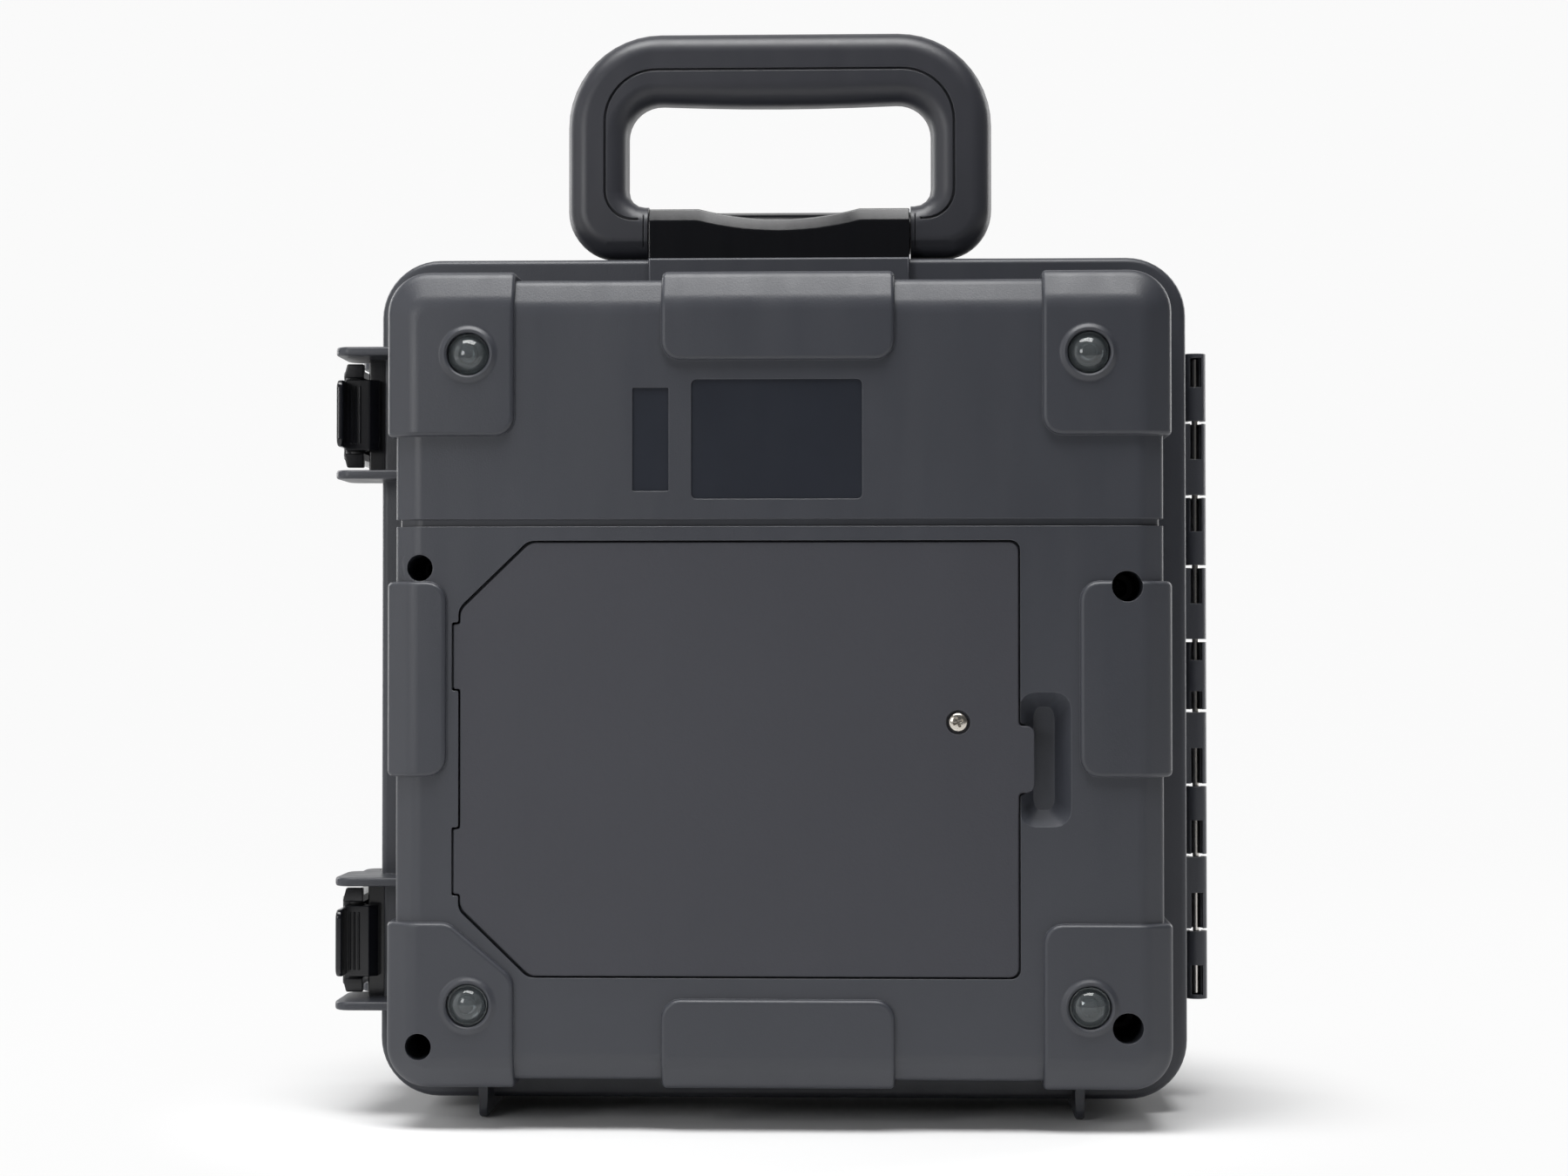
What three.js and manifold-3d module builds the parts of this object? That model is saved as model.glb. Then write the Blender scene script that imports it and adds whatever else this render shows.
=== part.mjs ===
// Portable test instrument in a hard case that latches shut and stands on its edge.
// Millimetres, +Z up. X runs across the case, the hinged lid is on the +Y side and the
// battery cover on the -Y side. Y = 0 of the building frame is the parting plane of the case.
import * as THREE from 'three';
import { mergeVertices } from 'three/addons/utils/BufferGeometryUtils.js';
import Module from 'manifold-3d';

const wasm = await Module();
wasm.setup();

// Rim: the widest band, where base and lid meet
const rimWidth = 240;
const rimHeight = 250;
const rimRadius = 17.5;
const rimEdge = 1.6;
const rimWall = 5;
const partingGap = 0.5;
const baseRimDepth = 29.5;
const lidRimDepth = 19;

// Body of each half, narrower than the rim, and the bumper pads that stand proud of it
const lidDepth = 48;
const bodyInset = 9.9;
const bodyInsetTop = 10.35;
const bodyRadius = 9.6;
const bodyWall = 3;
const bodyDraft = 0.5;
const backFillet = 6.5;
const padRise = 2.4;
const padFaceRise = 1.8;
const padCorner = 5.5;
const cornerPadWidth = 37;
const cornerPadHeight = 47.5;
const endPadWidth = 66.7;
const endPadHeight = 25.9;
const sidePadWidth = 17.6;
const sidePadHeight = 55.8;
const padChamferRun = 18.6;
const padChamferRise = 15.5;

// Standing fins under the case
const finDrop = 4;
const finSpacing = 174.6;
const finThickness = 2.7;
const baseFinDepth = 44;
const lidFinDepth = 34;
const finCorner = 3;

// Groove across the back, and the bare label recesses
const grooveWidth = 2.1;
const grooveDepth = 1.2;
const grooveHeight = 173.7;
const labelDepth = 0.5;
const labelCorner = 1.5;
const wideLabelWidth = 48.9;
const wideLabelHeight = 34.3;
const wideLabelX = -0.3;
const wideLabelZ = 197.6;
const slimLabelWidth = 10.4;
const slimLabelHeight = 29.7;
const slimLabelX = -36.4;
const slimLabelZ = 197.55;

// Clearances
const fit = 0.4;
const seat = 0.3;
const sink = 1;
const overrun = 3;
const weld = 0.0005;

// Screw wells from the back, and the screws that hold the panel
const wellX = 101;
const wellUpperZ = 155.4;
const wellLowerZ = 24.1;
const wellRadius = 3.8;
const wellWall = 2;
const wellFloor = 5;
const screwHeadRadius = 2.75;
const screwHeadHeight = 2.2;
const screwRadius = 1.5;
const screwLength = 20;
const crossWidth = 0.9;
const crossReach = 1.9;
const crossDepth = 1.3;

// Battery cover, its pocket and the finger recess beside it
const coverWidth = 160.6;
const coverHeight = 124.9;
const coverX = -11.2;
const coverZ = 106.15;
const coverThickness = 2.6;
const coverDip = 0.3;
const coverCorner = 2.7;
const coverChamferRun = 20;
const coverChamferRise = 19.3;
const coverChamferRound = 4;
const coverGap = 0.45;
const tabReach = 1.9;
const tabLength = 19.6;
const tabSpread = 29.3;
const tabCorner = 0.6;
const tongueReach = 2.4;
const tongueThickness = 1.2;
const pullReach = 4.5;
const pullLength = 19.9;
const pullCorner = 2.3;
const ledgeWidth = 4.5;
const ledgeThickness = 2.8;
const recessWidth = 14.4;
const recessHeight = 38.3;
const recessCorner = 4.7;
const recessSlope = 4.4;
const recessDepth = 7;
const recessWall = 2.2;
const coverScrewInset = 17.7;
const coverScrewRise = 10.55;
const counterboreRadius = 3.65;
const counterboreDepth = 1.3;
const coverScrewHead = 2.65;
const coverScrewLength = 9;
const coverScrewHeight = 1.35;

// Battery tray, cells and contacts
const trayDepth = 29.5;
const trayWall = 2;
const trayInset = 0.6;
const cellRadius = 13.1;
const cellLength = 49.2;
const cellEdge = 1;
const nubRadius = 4;
const nubHeight = 1.4;
const cellPitch = 28;
const cellColumns = 2;
const cellRows = 3;
const cellMargin = 3.6;
const contactMargin = 7;
const ribThickness = 1;
const ribHeight = 9;
const contactThickness = 0.6;
const contactWidth = 18;
const postRadius = 4;

// Feet on the back
const footSpanX = 177.2;
const footSpanZ = 186;
const footProud = 2;
const footRadius = 5.8;
const footDome = 4.3;
const footShelf = 1;
const footBossRadius = 8;
const footBossRise = 0.9;
const footSocketDepth = 3;

// Hinge on the right
const knuckleRadius = 3.3;
const knuckleStandOff = 5.6;
const knucklePitch = 22.05;
const knuckleExtra = 0.6;
const knuckleGap = 0.9;
const knuckleCount = 9;
const hingeRise = 0.2;
const hingePinRadius = 1;
const hingeBore = 1.35;
const hingeCap = 1.2;
const slotWidth = 3.6;
const slotFloor = 0.4;
const middleSlotShare = 0.27;

// Latches on the left
const latchSpread = 156.4;
const earSpread = 36.4;
const earThickness = 2.6;
const earReach = 11.7;
const earNear = 44.5;
const earFar = 17.5;
const earCorner = 4.5;
const lugNear = 2.2;
const lugFar = 16.8;
const latchPinReach = 5.6;
const latchPinBack = 9.5;
const latchPinRadius = 1;
const latchBore = 1.35;
const leverWidth = 31;
const leverReach = 11.2;
const leverInner = 5.1;
const leverSkin = 2.2;
const leverCheek = 2;
const leverBevelRun = 3.5;
const leverBevelRise = 1.5;
const leverNear = 31.5;
const leverBarrel = 3.6;
const leverHeel = 1.5;
const thumbWidth = 19.6;
const thumbNear = 43.5;
const thumbSkin = 2;
const thumbCorner = 3.2;
const hookWidth = 12;
const hookTip = 0.3;
const hookThickness = 5.5;
const hookNose = 2.6;
const catchReach = 3.9;
const catchLength = 28;
const catchTop = 2;
const catchRamp = 6.5;

// Handle on top
const handleX = -0.95;
const handleBehind = 21;
const handleWidth = 127.1;
const handleRise = 67.7;
const handleClearance = 0.7;
const handleThickness = 15.8;
const handleRound = 6.6;
const handleTopRadius = 28;
const handleFootRadius = 14.5;
const handleSideWidth = 18.1;
const handleTopWidth = 20.7;
const handleArmHeight = 15.7;
const handleArmLength = 24.6;
const bracketWidth = handleWidth - 2 * handleArmLength;
const openingTopRadius = 10;
const openingSag = 1.2;
const seamInsetSide = 11.3;
const seamInsetTop = 11.4;
const seamRadius = 15.5;
const seamDrop = 4.3;
const seamFootRadius = 8.7;
const seamGap = 0.35;
const bracketDepth = 20;
const bracketHeight = 15.2;
const bracketEdge = 3.8;
const bracketDip = 3.1;
const bracketDipWidth = 48;
const pedestalProud = 3;
const pedestalDrop = 12;
const handlePinRadius = 2;
const handlePinReach = 9;

// Seal in the parting face
const sealWidth = 2;
const sealHeight = 2.2;
const sealInset = 1.3;

// Instrument panel
const panelDrop = 4.5;
const panelThickness = 2.5;
const panelSkirt = 2.4;
const wellTrayWidth = 190;
const wellTrayDepth = 42;
const wellTrayCorner = 6;
const wellTrayWall = 2;
const wellTrayMargin = 9.5;
const wellTrayGap = 4;
const bossRadius = 4;
const boardWidth = 188;
const boardHeight = 146;
const boardThickness = 1.6;
const boardDepth = 15;
const boardToTray = 8.3;
const boardZ = 95;
const boardPostRadius = 3;
const boardPostInset = 8;

// Display
const displayX = -32;
const displayZ = 92;
const displayWidth = 104;
const displayHeight = 54;
const displayThickness = 5;
const windowWidth = 96;
const windowHeight = 46;
const windowThickness = 1.6;
const windowLip = 2;
const windowCorner = 2;

// Controls
const knobX = 66;
const knobZ = 104;
const knobRadius = 20;
const knobHeight = 7;
const knobGripWidth = 9;
const knobGripLength = 31;
const knobGripCorner = 4;
const knobGripHeight = 9;
const knobLift = 0.6;
const spindleRadius = 3;
const spindleHole = 3.5;
const keyWidth = 19;
const keyHeight = 11;
const keyCorner = 2.5;
const keyProud = 1.8;
const keyPitch = 26;
const keyCount = 4;
const keyZ = 45;
const keyTravel = 1;
const keyFlange = 1.4;
const keyFlangeThickness = 1;
const keyStemRadius = 2.75;
const testX = 66;
const testZ = 48;
const testRadius = 13;
const testProud = 4;
const testTravel = 2.5;
const testDish = 1.2;
const socketX = -66;
const socketZ = 143;
const socketPitch = 34;
const socketCount = 3;
const socketRadius = 7;
const socketRim = 9;
const socketRimHeight = 1.6;
const socketBore = 3.8;
const socketDepth = 16;
const socketBoreDepth = 13;

// Facets
const fineSteps = 4;
const coarseSteps = 3;
const filletSteps = 3;
const roundSides = 16;
const fewSteps = 2;
const smallSides = 12;
const tinySides = 8;

// Depth of the base, from the panel through the board and the tray to the pads
const panelStack = panelDrop + panelThickness + boardDepth + boardThickness;
const coverStack = seat + ledgeThickness + seat + coverThickness + coverDip;
const baseDepth = panelStack + boardToTray + trayDepth + coverStack + padFaceRise;

// Places that follow from the sizes above
const centreZ = finDrop + rimHeight / 2;
const rimTop = finDrop + rimHeight;
const rimHalf = rimWidth / 2;
const bodyWidth = rimWidth - 2 * bodyInset;
const bodyHeight = rimHeight - 2 * bodyInsetTop;
const bodyTop = centreZ + bodyHeight / 2;
const bodyBottom = centreZ - bodyHeight / 2;
const baseFace = -(baseDepth - padFaceRise);
const coverScrewX = coverX + coverWidth / 2 - coverScrewInset;
const coverScrewZ = coverZ + coverScrewRise;
const baseFloor = baseFace + bodyWall;
const hingeX = rimHalf + knuckleStandOff;
const hingeZ = centreZ + hingeRise;
const latchX = -(rimHalf + latchPinReach);
const handlePivotZ = rimTop + handleClearance + handleArmHeight / 2;
const pocketFloor = baseFace + coverDip + coverThickness + seat;
const ledgeBack = pocketFloor + ledgeThickness;
const trayTop = coverZ + coverHeight / 2 - ledgeWidth - trayInset + trayWall;
const panelFront = -panelDrop;
const panelBack = panelFront - panelThickness;
const boardFront = panelBack - boardDepth;
const boardBack = boardFront - boardThickness;
const stepY = -(baseRimDepth - bodyWall);
const wellBottom = stepY - fit - wellFloor;

// Materials
function plastic(color, roughness, metalness = 0) {
  return new THREE.MeshStandardMaterial({ color, roughness, metalness });
}
const caseAbs = plastic('#4b4d52', 0.62);
const coverAbs = plastic('#48494c', 0.66);
const darkAbs = plastic('#2b2c31', 0.5);
const gripAbs = plastic('#3c3d42', 0.45);
const glossAbs = plastic('#17171f', 0.15);
const panelAbs = plastic('#3a3c40', 0.6);
const keyRubber = plastic('#5d6167', 0.7);
const testRubber = plastic('#b5562f', 0.6);
const sealRubber = plastic('#1c1c1e', 0.85);
const clearRubber = plastic('#c9d2d6', 0.12);
const nickel = plastic('#c9c7c2', 0.28, 1);
const stainless = plastic('#b9b6b0', 0.3, 1);
const boardLaminate = plastic('#1f5a3c', 0.55);
const displayGlass = plastic('#8f9a86', 0.2);
const windowPane = plastic('#d8dde0', 0.06);
const cellSleeve = plastic('#6f7378', 0.4);
const socketMoulding = plastic('#1f2024', 0.35);

// Solids from three.js geometry, joined and cut
function toSolid(geometry) {
  const bare = geometry.clone();
  bare.deleteAttribute('normal');
  bare.deleteAttribute('uv');
  const welded = mergeVertices(bare, weld);
  return new wasm.Manifold(new wasm.Mesh({
    numProp: 3,
    vertProperties: new Float32Array(welded.attributes.position.array),
    triVerts: new Uint32Array(welded.index.array),
  }));
}

function join(...solids) {
  return solids.reduce((whole, next) => whole.add(next));
}

function cut(solid, ...tools) {
  return tools.reduce((rest, tool) => rest.subtract(tool), solid);
}

function addPiece(group, name, solid, material) {
  const mesh = solid.getMesh();
  const geometry = new THREE.BufferGeometry();
  geometry.setAttribute('position', new THREE.BufferAttribute(new Float32Array(mesh.vertProperties), 3));
  geometry.setIndex(new THREE.BufferAttribute(new Uint32Array(mesh.triVerts), 1));
  geometry.computeVertexNormals();
  const piece = new THREE.Mesh(geometry, material);
  piece.name = name;
  group.add(piece);
}

// An outline from corners [u, v, radius], counter-clockwise, with true arcs at the corners
function outline(corners) {
  const shape = new THREE.Shape();
  const count = corners.length;
  corners.forEach(([u, v, radius = 0], index) => {
    const here = new THREE.Vector2(u, v);
    const before = new THREE.Vector2(...corners[(index + count - 1) % count]).sub(here).normalize();
    const after = new THREE.Vector2(...corners[(index + 1) % count]).sub(here).normalize();
    if (radius <= 0) {
      if (index === 0) shape.moveTo(u, v);
      else shape.lineTo(u, v);
      return;
    }
    const half = Math.acos(THREE.MathUtils.clamp(before.dot(after), -1, 1)) / 2;
    const enter = here.clone().addScaledVector(before, radius / Math.tan(half));
    const leave = here.clone().addScaledVector(after, radius / Math.tan(half));
    const middle = before.clone().add(after).normalize();
    const centre = here.clone().addScaledVector(middle, radius / Math.sin(half));
    const turnsLeft = before.cross(after) < 0;
    if (index === 0) shape.moveTo(enter.x, enter.y);
    else shape.lineTo(enter.x, enter.y);
    shape.absarc(
      centre.x, centre.y, radius,
      Math.atan2(enter.y - centre.y, enter.x - centre.x),
      Math.atan2(leave.y - centre.y, leave.x - centre.x),
      !turnsLeft,
    );
  });
  shape.closePath();
  return shape;
}

// The same corners moved outward by a distance, inward when it is negative
function grown(corners, distance) {
  const count = corners.length;
  return corners.map(([u, v, radius = 0], index) => {
    const here = new THREE.Vector2(u, v);
    const into = here.clone().sub(new THREE.Vector2(...corners[(index + count - 1) % count])).normalize();
    const out = new THREE.Vector2(...corners[(index + 1) % count]).sub(here).normalize();
    const normalIn = new THREE.Vector2(into.y, -into.x);
    const normalOut = new THREE.Vector2(out.y, -out.x);
    const middle = normalIn.clone().add(normalOut);
    middle.multiplyScalar(distance / (1 + normalIn.dot(normalOut)));
    const convex = into.cross(out) > 0;
    const nextRadius = radius > 0 ? Math.max(radius + (convex ? distance : -distance), weld) : 0;
    return [u + middle.x, v + middle.y, nextRadius];
  });
}

function rectangle(u, v, width, height, radius = 0) {
  return [
    [u - width / 2, v - height / 2, radius],
    [u + width / 2, v - height / 2, radius],
    [u + width / 2, v + height / 2, radius],
    [u - width / 2, v + height / 2, radius],
  ];
}

// Extrusions: an outline in X and Z along Y, in X and Y along Z, or in Y and Z along X
const directions = {
  x: new THREE.Matrix4().makeBasis(
    new THREE.Vector3(0, 1, 0), new THREE.Vector3(0, 0, 1), new THREE.Vector3(1, 0, 0)),
  y: new THREE.Matrix4().makeRotationX(Math.PI / 2),
  z: new THREE.Matrix4(),
};

function extrude(shape, axis, from, to, steps = coarseSteps) {
  const geometry = new THREE.ExtrudeGeometry(shape, {
    depth: to - from,
    bevelEnabled: false,
    curveSegments: steps,
  });
  geometry.applyMatrix4(directions[axis]);
  if (axis === 'x') geometry.translate(from, 0, 0);
  if (axis === 'y') geometry.translate(0, to, 0);
  if (axis === 'z') geometry.translate(0, 0, from);
  return toSolid(geometry);
}

function block(x, y, z) {
  return extrude(outline([[x[0], z[0]], [x[1], z[0]], [x[1], z[1]], [x[0], z[1]]]), 'y', y[0], y[1]);
}

function cylinder(axis, radius, from, to, at, sides = roundSides) {
  const geometry = new THREE.CylinderGeometry(radius, radius, to - from, sides);
  geometry.translate(0, (from + to) / 2, 0);
  if (axis === 'x') geometry.rotateZ(-Math.PI / 2).translate(0, at[0], at[1]);
  if (axis === 'y') geometry.translate(at[0], 0, at[1]);
  if (axis === 'z') geometry.rotateX(Math.PI / 2).translate(at[0], at[1], 0);
  return toSolid(geometry);
}

// A turned piece about Y, from a profile [radius, y] that starts and ends on the axis
function turned(profile, x, z, sides = roundSides) {
  const geometry = new THREE.LatheGeometry(profile.map(([radius, y]) => new THREE.Vector2(radius, y)), sides);
  geometry.translate(x, 0, z);
  return toSolid(geometry);
}

// Rounded rectangles lofted along Y. Each station is { y, width, height, radius }
function boxLoft(stations, steps, x = 0, z = centreZ) {
  const points = [];
  const faces = [];
  const around = 4 * (steps + 1);
  for (const { y, width, height, radius } of stations) {
    for (let corner = 0; corner < 4; corner += 1) {
      const signX = corner === 0 || corner === 3 ? 1 : -1;
      const signZ = corner < 2 ? 1 : -1;
      for (let step = 0; step <= steps; step += 1) {
        const angle = (corner + step / steps) * (Math.PI / 2);
        points.push(
          x + signX * (width / 2 - radius) + radius * Math.cos(angle),
          y,
          z + signZ * (height / 2 - radius) + radius * Math.sin(angle),
        );
      }
    }
  }
  for (let ring = 0; ring + 1 < stations.length; ring += 1) {
    for (let index = 0; index < around; index += 1) {
      const a = ring * around + index;
      const b = ring * around + ((index + 1) % around);
      faces.push(a, a + around, b, b, a + around, b + around);
    }
  }
  const last = (stations.length - 1) * around;
  for (let index = 1; index + 1 < around; index += 1) {
    faces.push(0, index, index + 1);
    faces.push(last, last + index + 1, last + index);
  }
  const geometry = new THREE.BufferGeometry();
  geometry.setAttribute('position', new THREE.BufferAttribute(new Float32Array(points), 3));
  geometry.setIndex(faces);
  return toSolid(geometry);
}

// Stations of a body with a filleted back edge, offset outward by a rise
function bodyStations(face, end, rise, draftDepth) {
  const fillet = backFillet;
  const stations = [];
  const size = (y, inset) => {
    const draft = bodyDraft * Math.max(0, (y - face) / draftDepth);
    return {
      y,
      width: bodyWidth + 2 * (rise + draft - inset),
      height: bodyHeight + 2 * (rise + draft - inset),
      radius: Math.max(bodyRadius + rise + draft - inset, weld),
    };
  };
  for (let step = 0; step <= filletSteps; step += 1) {
    const angle = (step / filletSteps) * (Math.PI / 2);
    stations.push(size(face + fillet * (1 - Math.cos(angle)), fillet * (1 - Math.sin(angle))));
  }
  stations.push(size(end, 0));
  return stations;
}

function rimStations(from, to) {
  const station = (y, inset) => ({
    y, width: rimWidth - 2 * inset, height: rimHeight - 2 * inset, radius: rimRadius - inset,
  });
  const softened = [0, 1, 2].map((step) => {
    const angle = (step / 2) * (Math.PI / 2);
    return station(from + rimEdge * (1 - Math.cos(angle)), rimEdge * (1 - Math.sin(angle)));
  });
  return [...softened, station(to, 0)];
}

// Pads, seen from the back. The list gives the prisms that each half keeps
const padHalfX = bodyWidth / 2 + padRise;
const padHalfZ = bodyHeight / 2 + padRise;

function cornerPad(signX, signZ, chamfered) {
  const inX = signX * (padHalfX - cornerPadWidth);
  const inZ = centreZ + signZ * (padHalfZ - cornerPadHeight);
  const outX = signX * (padHalfX + overrun);
  const outZ = centreZ + signZ * (padHalfZ + overrun);
  const corners = chamfered
    ? [
      [outX, outZ], [inX, outZ],
      [inX, inZ + signZ * padChamferRise, padCorner],
      [inX + signX * padChamferRun, inZ, padCorner],
      [outX, inZ],
    ]
    : [[outX, outZ], [inX, outZ], [inX, inZ, padCorner], [outX, inZ]];
  if (signX * signZ < 0) corners.reverse();
  return outline(corners);
}

function padPrisms(front, back, withMiddles) {
  const prism = (shape) => extrude(shape, 'y', front, back);
  const prisms = [
    prism(cornerPad(-1, 1, false)),
    prism(cornerPad(1, 1, false)),
    prism(cornerPad(-1, -1, withMiddles)),
    prism(cornerPad(1, -1, false)),
  ];
  if (withMiddles) {
    const endOut = endPadHeight + overrun;
    const sideOut = sidePadWidth + overrun;
    for (const sign of [-1, 1]) {
      const endZ = centreZ + sign * (padHalfZ - endPadHeight + endOut / 2);
      const sideX = sign * (padHalfX - sidePadWidth + sideOut / 2);
      prisms.push(prism(outline(rectangle(0, endZ, endPadWidth, endOut, padCorner))));
      prisms.push(prism(outline(rectangle(sideX, centreZ, sideOut, sidePadHeight, padCorner))));
    }
  }
  return join(...prisms);
}

// One half of the case, opening towards +Y at y = 0, before its own details
function caseHalf(depth, rimDepth, fins, isBase) {
  const face = -(depth - padFaceRise);
  const body = boxLoft(bodyStations(face, -rimDepth + sink, 0, depth), fineSteps);
  const rim = boxLoft(rimStations(-rimDepth, 0), fineSteps);
  const pads = boxLoft(bodyStations(-depth, -rimDepth + sink, padRise, depth), fineSteps)
    .intersect(padPrisms(-depth - overrun, 0, isBase));
  let half = join(body, rim);
  if (isBase) {
    const band = [grooveHeight - grooveWidth / 2, grooveHeight + grooveWidth / 2];
    const inner = bodyStations(face + grooveDepth, -rimDepth + overrun, -grooveDepth, depth);
    const around = block([-rimHalf, rimHalf], [-depth, -rimDepth], band);
    half = cut(half, cut(around, boxLoft(inner, fineSteps)));
  }
  half = half.add(pads);
  const finTop = bodyBottom + bodyWall;
  for (const sign of [-1, 1]) {
    const x = (sign * finSpacing) / 2;
    const profile = outline([
      [-fins, 0, finCorner], [-partingGap / 2, 0], [-partingGap / 2, finTop], [-fins, finTop],
    ]);
    half = half.add(extrude(profile, 'x', x - finThickness / 2, x + finThickness / 2));
  }
  return half;
}

// The room inside one half, wider where the rim is
function hollow(depth, rimDepth) {
  const face = -(depth - padFaceRise);
  const inside = (y, width, height, radius) => ({ y, width, height, radius });
  const bodyIn = [bodyWidth - 2 * bodyWall, bodyHeight - 2 * bodyWall, bodyRadius - bodyWall];
  const rimIn = [rimWidth - 2 * rimWall, rimHeight - 2 * rimWall, rimRadius - rimWall];
  const softer = [bodyIn[0] - 2 * bodyWall, bodyIn[1] - 2 * bodyWall, bodyRadius - 2 * bodyWall];
  return boxLoft([
    inside(face + bodyWall, ...softer),
    inside(face + 2 * bodyWall, ...bodyIn),
    inside(-rimDepth + bodyWall, ...bodyIn),
    inside(-rimDepth + bodyWall, ...rimIn),
    inside(overrun, ...rimIn),
  ], fineSteps);
}

// Knuckles: half of each wraps the pin from the back, the other half from the front
function knuckles(wanted, towardsBase) {
  const first = hingeZ - ((knuckleCount - 1) / 2) * knucklePitch;
  const middle = (knuckleCount - 1) / 2;
  const side = towardsBase ? -1 : 1;
  const solids = [];
  for (let index = 0; index < knuckleCount; index += 1) {
    if ((index % 2 === 0) !== wanted) continue;
    const z = first + index * knucklePitch;
    const extra = index % 2 === 0 ? -knuckleExtra : knuckleExtra;
    const length = knucklePitch - knuckleGap + extra;
    const low = z - length / 2;
    const high = z + length / 2;
    const web = block(
      [rimHalf - sink, hingeX],
      [partingGap / 2, knuckleRadius].map((reach) => side * reach).sort((a, b) => a - b),
      [low, high],
    );
    const barrel = cylinder('z', knuckleRadius, low, high, [hingeX, 0], smallSides);
    const boreLow = index === 0 ? low + hingeCap : low - overrun;
    const boreHigh = index === knuckleCount - 1 ? high - hingeCap : high + overrun;
    const bore = cylinder('z', hingeBore, boreLow, boreHigh, [hingeX, 0], tinySides);
    const windows = index === middle
      ? [[low - overrun, low + middleSlotShare * length, -1],
        [low + middleSlotShare * length, high - middleSlotShare * length, 1],
        [high - middleSlotShare * length, high + overrun, -1]]
      : [[index > middle ? z : boreLow, index > middle ? boreHigh : z, -1],
        [index > middle ? boreLow : z, index > middle ? z : boreHigh, 1]];
    const slots = windows.map(([from, to, facing]) => block(
      [hingeX - slotWidth / 2, hingeX + slotWidth / 2],
      [slotFloor, knuckleRadius + overrun].map((reach) => facing * reach).sort((a, b) => a - b),
      [from, to],
    ));
    solids.push(cut(join(barrel, web), bore, ...slots));
  }
  return join(...solids);
}

// Battery cover outline, shared by the cover, its pocket and the opening behind it
function coverCorners() {
  const left = coverX - coverWidth / 2;
  const right = coverX + coverWidth / 2;
  const low = coverZ - coverHeight / 2;
  const high = coverZ + coverHeight / 2;
  const tab = (z) => [
    [left, z + tabLength / 2, tabCorner],
    [left - tabReach, z + tabLength / 2, tabCorner],
    [left - tabReach, z - tabLength / 2, tabCorner],
    [left, z - tabLength / 2, tabCorner],
  ];
  return [
    [left + coverChamferRun, low, coverChamferRound],
    [right, low, coverCorner],
    [right, coverZ - pullLength / 2, pullCorner / 2],
    [right + pullReach, coverZ - pullLength / 2, pullCorner],
    [right + pullReach, coverZ + pullLength / 2, pullCorner],
    [right, coverZ + pullLength / 2, pullCorner / 2],
    [right, high, coverCorner],
    [left + coverChamferRun, high, coverChamferRound],
    [left, high - coverChamferRise, tabCorner],
    ...tab(coverZ + tabSpread),
    ...tab(coverZ - tabSpread),
    [left, low + coverChamferRise, tabCorner],
  ];
}

function openingCorners(inset) {
  const left = coverX - coverWidth / 2 + inset;
  const right = coverX + coverWidth / 2 - inset;
  const low = coverZ - coverHeight / 2 + inset;
  const high = coverZ + coverHeight / 2 - inset;
  return [
    [left + coverChamferRun, low], [right, low, coverCorner],
    [right, high, coverCorner], [left + coverChamferRun, high],
    [left, high - coverChamferRise], [left, low + coverChamferRise],
  ];
}

const wells = [
  [-wellX, wellUpperZ], [-wellX, wellLowerZ], [wellX, wellUpperZ], [wellX, wellLowerZ],
];
const feet = [[-1, 1], [1, 1], [-1, -1], [1, -1]].map(([signX, signZ]) => [
  (signX * footSpanX) / 2, centreZ + (signZ * footSpanZ) / 2,
]);

function fingerRecess(rise, extraDepth) {
  const width = recessWidth + coverGap + 2 * rise;
  const height = recessHeight + 2 * rise;
  const x = coverX + coverWidth / 2 + (recessWidth - coverGap) / 2;
  return boxLoft([
    { y: baseFace - (rise > 0 ? 0 : overrun), width, height, radius: recessCorner + rise },
    { y: baseFace, width, height, radius: recessCorner + rise },
    {
      y: baseFace + recessDepth + extraDepth,
      width: width - 2 * recessSlope,
      height: height - 2 * recessSlope,
      radius: recessCorner + rise - recessSlope / 2,
    },
  ].slice(rise > 0 ? 1 : 0), coarseSteps, x, coverZ);
}

// Ears beside each latch, on the base, and the drilled lugs on the lid
function latchEar(near, far, holeAt) {
  const root = -(rimHalf - bodyInset - sink);
  const tip = -(rimHalf + earReach);
  return (z) => {
    const plate = outline([
      [tip, near, earCorner], [root, near], [root, far], [tip, far, earCorner],
    ]);
    const ear = extrude(plate, 'z', z - earThickness / 2, z + earThickness / 2, fineSteps);
    if (!holeAt) return ear;
    return cut(ear, cylinder(
      'z', latchBore, z - earThickness / 2 - overrun, z + earThickness / 2 + overrun, holeAt, tinySides));
  };
}

const latchHeights = [centreZ + latchSpread / 2, centreZ - latchSpread / 2];
const earHeights = latchHeights.flatMap((z) => [z - earSpread / 2, z + earSpread / 2]);

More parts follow.
